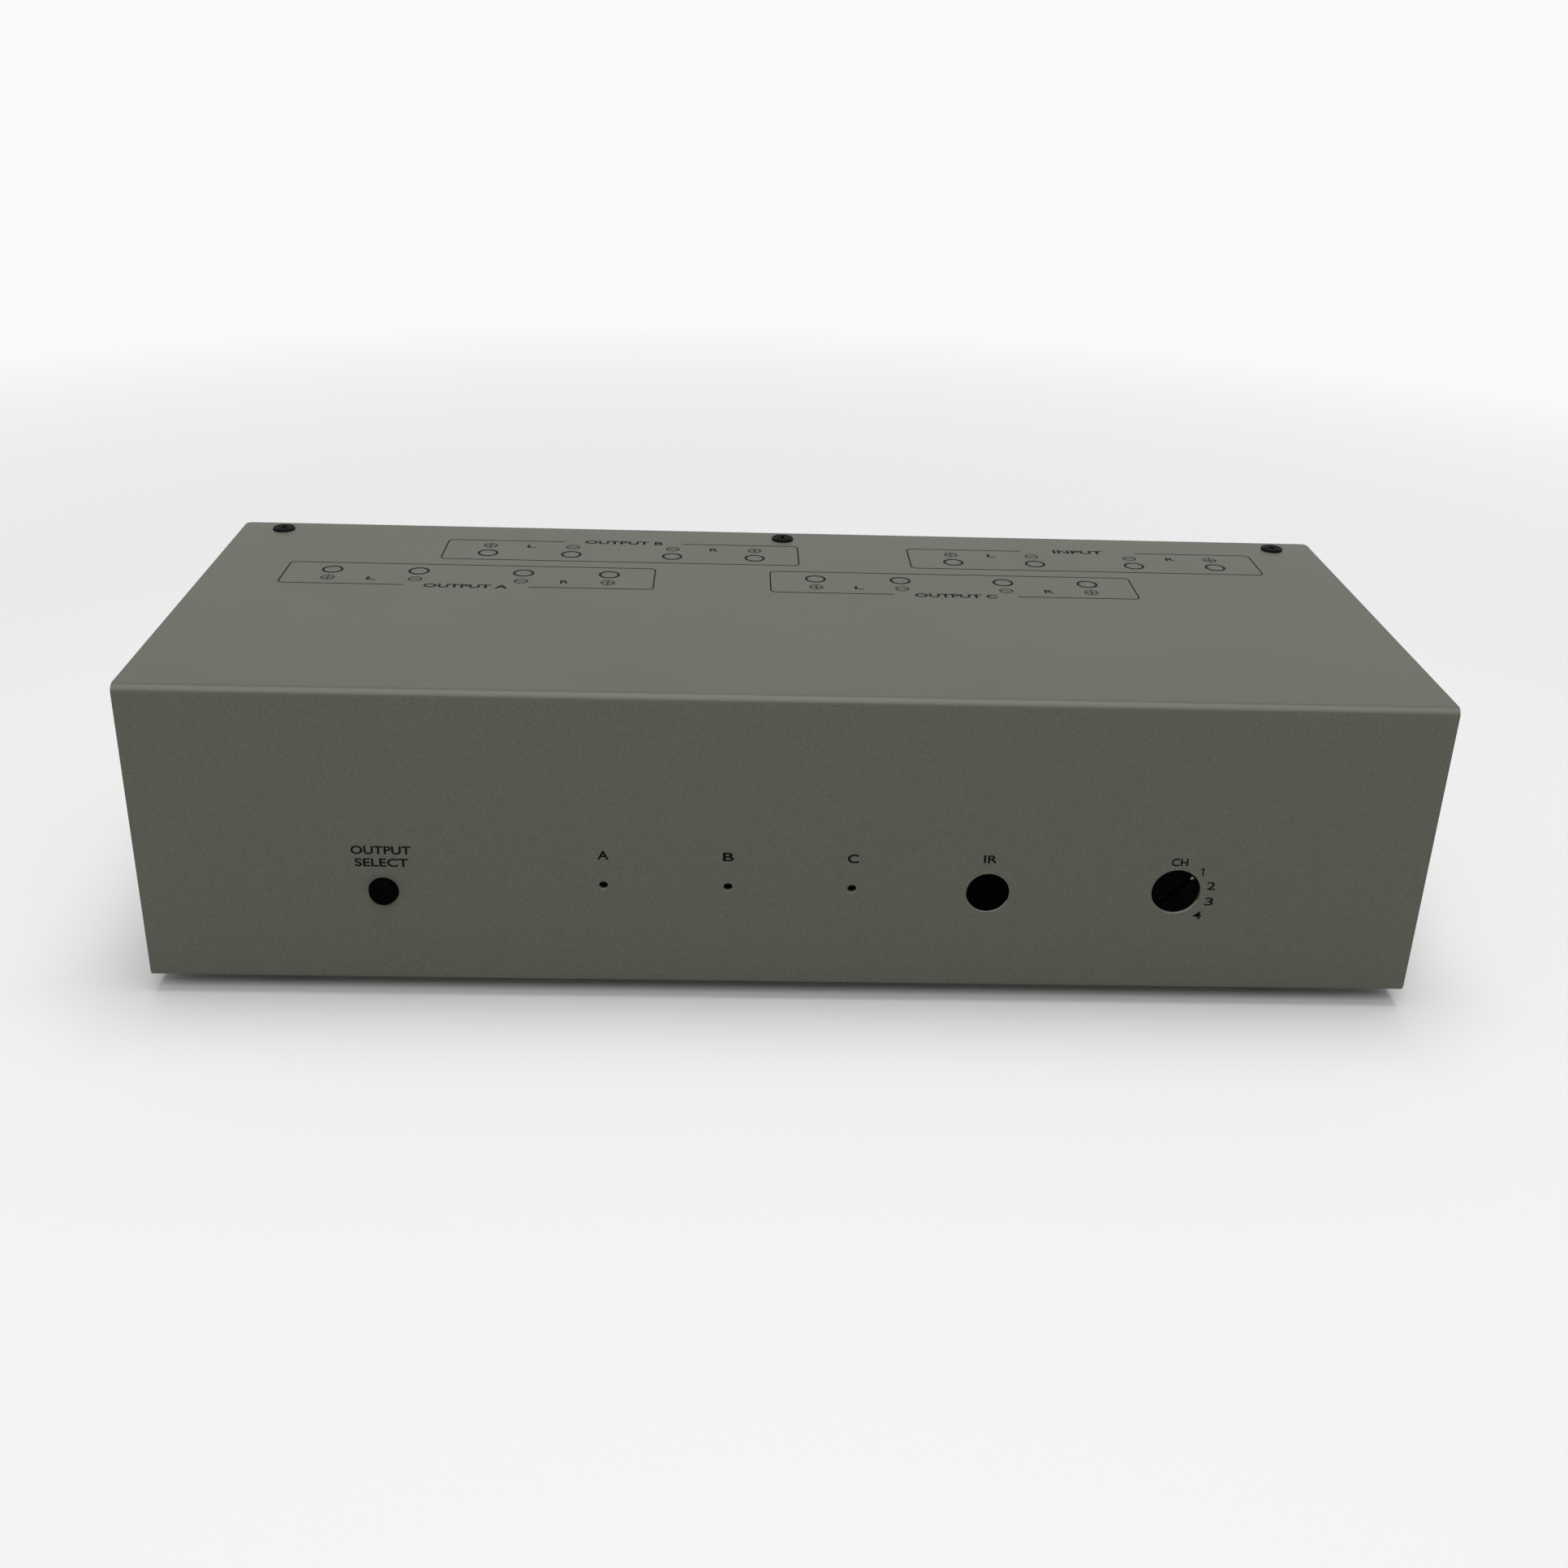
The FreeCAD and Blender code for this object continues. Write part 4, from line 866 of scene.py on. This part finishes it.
NECK_HOLE = 3.05 * MM
PANEL_HOLE = 5 * MM
COLLAR_RADIUS, COLLAR_HEIGHT, COLLAR_EDGE = 8 * MM, 4 * MM, 0.7 * MM
COLLAR_SEAT_RADIUS, COLLAR_SEAT = 6.4 * MM, 3.8 * MM
INNER_RADIUS, INNER_END, INNER_EDGE = 7 * MM, -3.2 * MM, 0.2 * MM
collar_edge = (COLLAR_RADIUS - COLLAR_EDGE, COLLAR_HEIGHT - COLLAR_EDGE)
collar_profile = (
    [(NECK_HOLE, -SHEET), (PANEL_HOLE, -SHEET), (PANEL_HOLE, 0), (COLLAR_RADIUS, 0)]
    + rounded(collar_edge, COLLAR_EDGE, 0, 90)
    + [(COLLAR_SEAT_RADIUS, COLLAR_HEIGHT), (COLLAR_SEAT_RADIUS - 0.1 * MM, COLLAR_SEAT),
       (NECK_HOLE, COLLAR_SEAT)]
)
inner_profile = [(NECK_HOLE, INNER_END), (INNER_RADIUS - INNER_EDGE, INNER_END),
                 (INNER_RADIUS, INNER_END + INNER_EDGE), (INNER_RADIUS, -SHEET),
                 (NECK_HOLE, -SHEET)]
COLLAR_BLACK = moulded_black("collar_black", roughness=0.4, grain=0.4 * MM, light=0.012,
                             specular=0.4)
collar = turned("collar", collar_profile, 64, ring=True)
inner = turned("inner_washer", inner_profile, ring=True)
outer_set = copies("outer_collars", collar, post_places.values())
inner_set = copies("inner_collars", inner, post_places.values())
bpy.data.objects.remove(collar, do_unlink=True)
bpy.data.objects.remove(inner, do_unlink=True)
for collars in (outer_set, inner_set):
    finished(collars, COLLAR_BLACK, "case", "post_insulators")

FLUTES = 12
FLUTE_CIRCLE = 7.9 * MM
FLUTE_RADIUS = 1 * MM
CAP_RADIUS = 7.5 * MM
CAP_BORE = 4.08 * MM
CAP_EDGE = 0.4 * MM
CAP_CROWN = 1 * MM
CAP_LIP, CAP_DISH, CAP_BEVEL = 5.6 * MM, 5.3 * MM, 4.6 * MM
DISH_DEPTH = 0.25 * MM
CAP_START = 7.5 * MM
CAP_END = 21.5 * MM


def fluted_cap():
    """A turned cap with a row of round flutes cut down its side."""
    profile = [(CAP_BORE, CAP_START), (CAP_RADIUS - CAP_EDGE, CAP_START)]
    profile += rounded((CAP_RADIUS - CAP_EDGE, CAP_START + CAP_EDGE), CAP_EDGE, -60, 0, 3)
    profile += rounded((CAP_RADIUS - CAP_CROWN, CAP_END - CAP_CROWN), CAP_CROWN, 0, 90)
    profile += [(CAP_LIP, CAP_END), (CAP_DISH, CAP_END - DISH_DEPTH),
                (CAP_BEVEL, CAP_END - DISH_DEPTH), (CAP_BORE, CAP_END - 0.6 * MM)]
    cap = turned("cap", profile, 96, ring=True)
    tools = []
    for i in range(FLUTES):
        turn = 2 * math.pi * i / FLUTES
        no_selection()
        bpy.ops.mesh.primitive_cylinder_add(
            vertices=24, radius=FLUTE_RADIUS, depth=2 * CAP_END,
            location=(FLUTE_CIRCLE * math.cos(turn), FLUTE_CIRCLE * math.sin(turn), CAP_END))
        bpy.ops.object.transform_apply(location=True, rotation=False, scale=False)
        tools.append(bpy.context.object)
    for tool in tools:
        tool.select_set(True)
    bpy.ops.object.join()
    carved(cap, bpy.context.object)
    bpy.ops.object.shade_smooth_by_angle(angle=math.radians(35))
    return cap


cap_pattern = fluted_cap()
for name, place in post_places.items():
    cap = copies(f"fluted_cap_{name}", cap_pattern, [place])
    kind = "plus" if name.endswith("plus") else "minus"
    finished(cap, CAP_PLASTIC[kind], f"cap_{name}", f"cap_{name}")
    coat(f"washer_{name}", GOLD)
bpy.data.objects.remove(cap_pattern, do_unlink=True)


# The mains inlet: a moulded black socket with two plated pins, screwed to the rear panel.
# The pins are part of the moulding, so their metal is painted in by place.
INLET_PIN_OFFSET = 4.3 * MM
PLATED_WITHIN = 1.3 * MM
PIN_METAL = (0.7, 0.69, 0.66, 1)


def inlet_plastic():
    material, tree, shader, place = new_material("inlet_plastic", roughness=0.42, specular=0.4)
    spot = apart(tree, place)
    near = []
    for x in (INLET_X - INLET_PIN_OFFSET, INLET_X + INLET_PIN_OFFSET):
        axis = tree.nodes.new("ShaderNodeCombineXYZ")
        axis.inputs["X"].default_value = x
        axis.inputs["Z"].default_value = base_z + INLET_HEIGHT
        tree.links.new(spot["Y"], axis.inputs["Y"])
        gap = tree.nodes.new("ShaderNodeVectorMath")
        gap.operation = "DISTANCE"
        tree.links.new(place, gap.inputs[0])
        tree.links.new(axis.outputs["Vector"], gap.inputs[1])
        near.append(gap.outputs["Value"])
    on_pin = compute(tree, "LESS_THAN", compute(tree, "MINIMUM", *near), PLATED_WITHIN)
    grain = noise(tree, place, 0.4 * MM)
    moulding = shade(tree, grain, grey(0.01), grey(0.017))
    tree.links.new(blend(tree, on_pin, moulding, PIN_METAL), shader.inputs["Base Color"])
    tree.links.new(on_pin, shader.inputs["Metallic"])
    relief(tree, shader, grain, 0.02 * MM, 0.3)
    return material


coat("mains_inlet", inlet_plastic())


# The metalwork inside: the control bracket, the pillars and the post nuts, bright zinc plate
# with the faint cloudy bloom that it has.
def zinc_plate():
    material, tree, shader, place = new_material("zinc_plate", roughness=0.35, metallic=1.0)
    bloom = noise(tree, place, 6 * MM, detail=4)
    colour = shade(tree, bloom, (0.5, 0.5, 0.49, 1), (0.66, 0.66, 0.63, 1))
    tree.links.new(colour, shader.inputs["Base Color"])
    vary(tree, noise(tree, place, 2 * MM), 0.28, 0.45, shader.inputs["Roughness"])
    relief(tree, shader, noise(tree, place, 0.3 * MM), 0.01 * MM, 0.3)
    return material


ZINC = zinc_plate()
for node in ("control_bracket", "board_pillars", "post_nuts"):
    coat(node, ZINC)


# The boards: green lacquer over copper tracks on glass-fibre sheet, slightly uneven.
# They carry the switches, the power supply and the relays.
TRACK_SPACING = 5 * MM


def board_lacquer():
    material, tree, shader, place = new_material("board_lacquer", roughness=0.3)
    tracks = tree.nodes.new("ShaderNodeTexVoronoi")
    tracks.feature = "DISTANCE_TO_EDGE"
    tracks.inputs["Scale"].default_value = 1 / TRACK_SPACING
    tree.links.new(place, tracks.inputs["Vector"])
    over_copper, bare = (0.03, 0.17, 0.06, 1), (0.012, 0.09, 0.035, 1)
    colour = shade(tree, tracks.outputs["Distance"], over_copper, bare, 0.03, 0.09)
    tree.links.new(colour, shader.inputs["Base Color"])
    relief(tree, shader, noise(tree, place, 0.5 * MM), 0.02 * MM, 0.3)
    return material


LACQUER = board_lacquer()
for node in ("control_board", "main_board", "relay_board"):
    coat(node, LACQUER)


# The power supply: a transformer with varnished laminations and a taped winding, and two
# sleeved capacitors. Two insulated leads bring the mains from the inlet.
def striped(name, pitch, along, dark, light, roughness, metallic=0.0):
    """A finish with fine even stripes across one axis."""
    material, tree, shader, place = new_material(name, roughness, metallic)
    wave = tree.nodes.new("ShaderNodeTexWave")
    wave.bands_direction = along
    wave.inputs["Scale"].default_value = math.pi / (10 * pitch)
    wave.inputs["Distortion"].default_value = 0.3
    tree.links.new(place, wave.inputs["Vector"])
    tree.links.new(shade(tree, wave.outputs["Fac"], dark, light), shader.inputs["Base Color"])
    relief(tree, shader, wave.outputs["Fac"], 0.05 * MM, 0.4)
    return material


coat("transformer_core", striped("laminations", pitch=0.5 * MM, along="Y",
                                 dark=(0.1, 0.1, 0.11, 1), light=(0.2, 0.2, 0.21, 1),
                                 roughness=0.5, metallic=0.8))
coat("transformer_coil", striped("taped_winding", pitch=1.2 * MM, along="Z",
                                 dark=(0.5, 0.32, 0.08, 1), light=(0.66, 0.45, 0.14, 1),
                                 roughness=0.4))
coat("capacitors", striped("can_sleeve", pitch=8 * MM, along="X",
                           dark=(0.01, 0.012, 0.03, 1), light=(0.03, 0.035, 0.07, 1),
                           roughness=0.25))
coat("mains_leads", striped("lead_insulation", pitch=4 * MM, along="X",
                            dark=(0.12, 0.05, 0.02, 1), light=(0.03, 0.08, 0.3, 1),
                            roughness=0.4))


# The relays and the ribbon: six sealed relays in a row on their board, and a flat grey ribbon
# that joins the control board to the main board.
def relay_case():
    material, tree, shader, place = new_material("relay_case", roughness=0.35)
    clouded(tree, place, shader, 4 * MM, (0.012, 0.02, 0.06, 1), (0.02, 0.032, 0.09, 1))
    relief(tree, shader, noise(tree, place, 0.3 * MM), 0.01 * MM, 0.3)
    return material


coat("relays", relay_case())
coat("control_ribbon", striped("ribbon_wires", pitch=1.27 * MM, along="X",
                               dark=grey(0.25), light=grey(0.45), roughness=0.5))


# The studio: a plain pale floor, one broad lamp overhead, a weaker one in front, and the
# camera where the photograph was taken from.
FLOOR_SIZE = 60
FADE_FROM, FADE_TO = 0.3, 0.7


def floor_finish():
    """White near the object, where it takes the shadow, and plain white light far off."""
    material, tree, shader, place = new_material("floor_finish", roughness=0.9, specular=0.1)
    shader.inputs["Base Color"].default_value = grey(0.92)
    away = tree.nodes.new("ShaderNodeVectorMath")
    away.operation = "LENGTH"
    tree.links.new(place, away.inputs[0])
    fade = tree.nodes.new("ShaderNodeMapRange")
    fade.inputs["From Min"].default_value = FADE_FROM
    fade.inputs["From Max"].default_value = FADE_TO
    tree.links.new(away.outputs["Value"], fade.inputs["Value"])
    plain = tree.nodes.new("ShaderNodeEmission")
    plain.inputs["Strength"].default_value = 0.95
    mix = tree.nodes.new("ShaderNodeMixShader")
    tree.links.new(fade.outputs["Result"], mix.inputs["Fac"])
    tree.links.new(shader.outputs["BSDF"], mix.inputs[1])
    tree.links.new(plain.outputs["Emission"], mix.inputs[2])
    tree.links.new(mix.outputs["Shader"], tree.nodes["Material Output"].inputs["Surface"])
    return material


no_selection()
bpy.ops.mesh.primitive_plane_add(size=FLOOR_SIZE, location=(0, 0, 0))
floor = bpy.context.object
floor.name = "floor"
floor.data.materials.append(floor_finish())


def lamp(name, size, power, place, target):
    data = bpy.data.lights.new(name, "AREA")
    data.size = size
    data.energy = power
    light = bpy.data.objects.new(name, data)
    light.location = place
    light.rotation_euler = (Vector(target) - Vector(place)).to_track_quat("-Z", "Y").to_euler()
    bpy.context.collection.objects.link(light)


lamp("overhead_lamp", size=0.7, power=9.1, place=(0.05, 0.05, 1.3), target=(0, 0, 0))
lamp("front_lamp", size=0.7, power=6.3, place=(-0.1, -1.0, 1.2), target=(0, 0, 0.04))

# The object is lit at a low level. What the camera and the reflections see is plain white.
world = bpy.data.worlds.new("studio")
bpy.context.scene.world = world
world.use_nodes = True
tree = world.node_tree
sky = tree.nodes["Background"]
rays = tree.nodes.new("ShaderNodeLightPath")
seen = compute(tree, "MAXIMUM", rays.outputs["Is Camera Ray"], rays.outputs["Is Transmission Ray"])
seen = compute(tree, "MAXIMUM", seen, rays.outputs["Is Glossy Ray"])
level = tree.nodes.new("ShaderNodeMapRange")
level.inputs["To Min"].default_value = 0.3
level.inputs["To Max"].default_value = 1.0
tree.links.new(seen, level.inputs["Value"])
tree.links.new(level.outputs["Result"], sky.inputs["Strength"])
sky.inputs["Color"].default_value = grey(1)

# The camera is fitted to the case's corners in the photograph.
camera_data = bpy.data.cameras.new("camera")
camera_data.sensor_width = 36
camera_data.lens = 40.4
camera = bpy.data.objects.new("camera", camera_data)
camera.location = (-0.01416, -0.40205, 0.21374)
camera.rotation_euler = (math.radians(64.526), math.radians(-1.678), math.radians(-1.353))
bpy.context.collection.objects.link(camera)
bpy.context.scene.camera = camera
bpy.context.scene.view_settings.view_transform = "Standard"
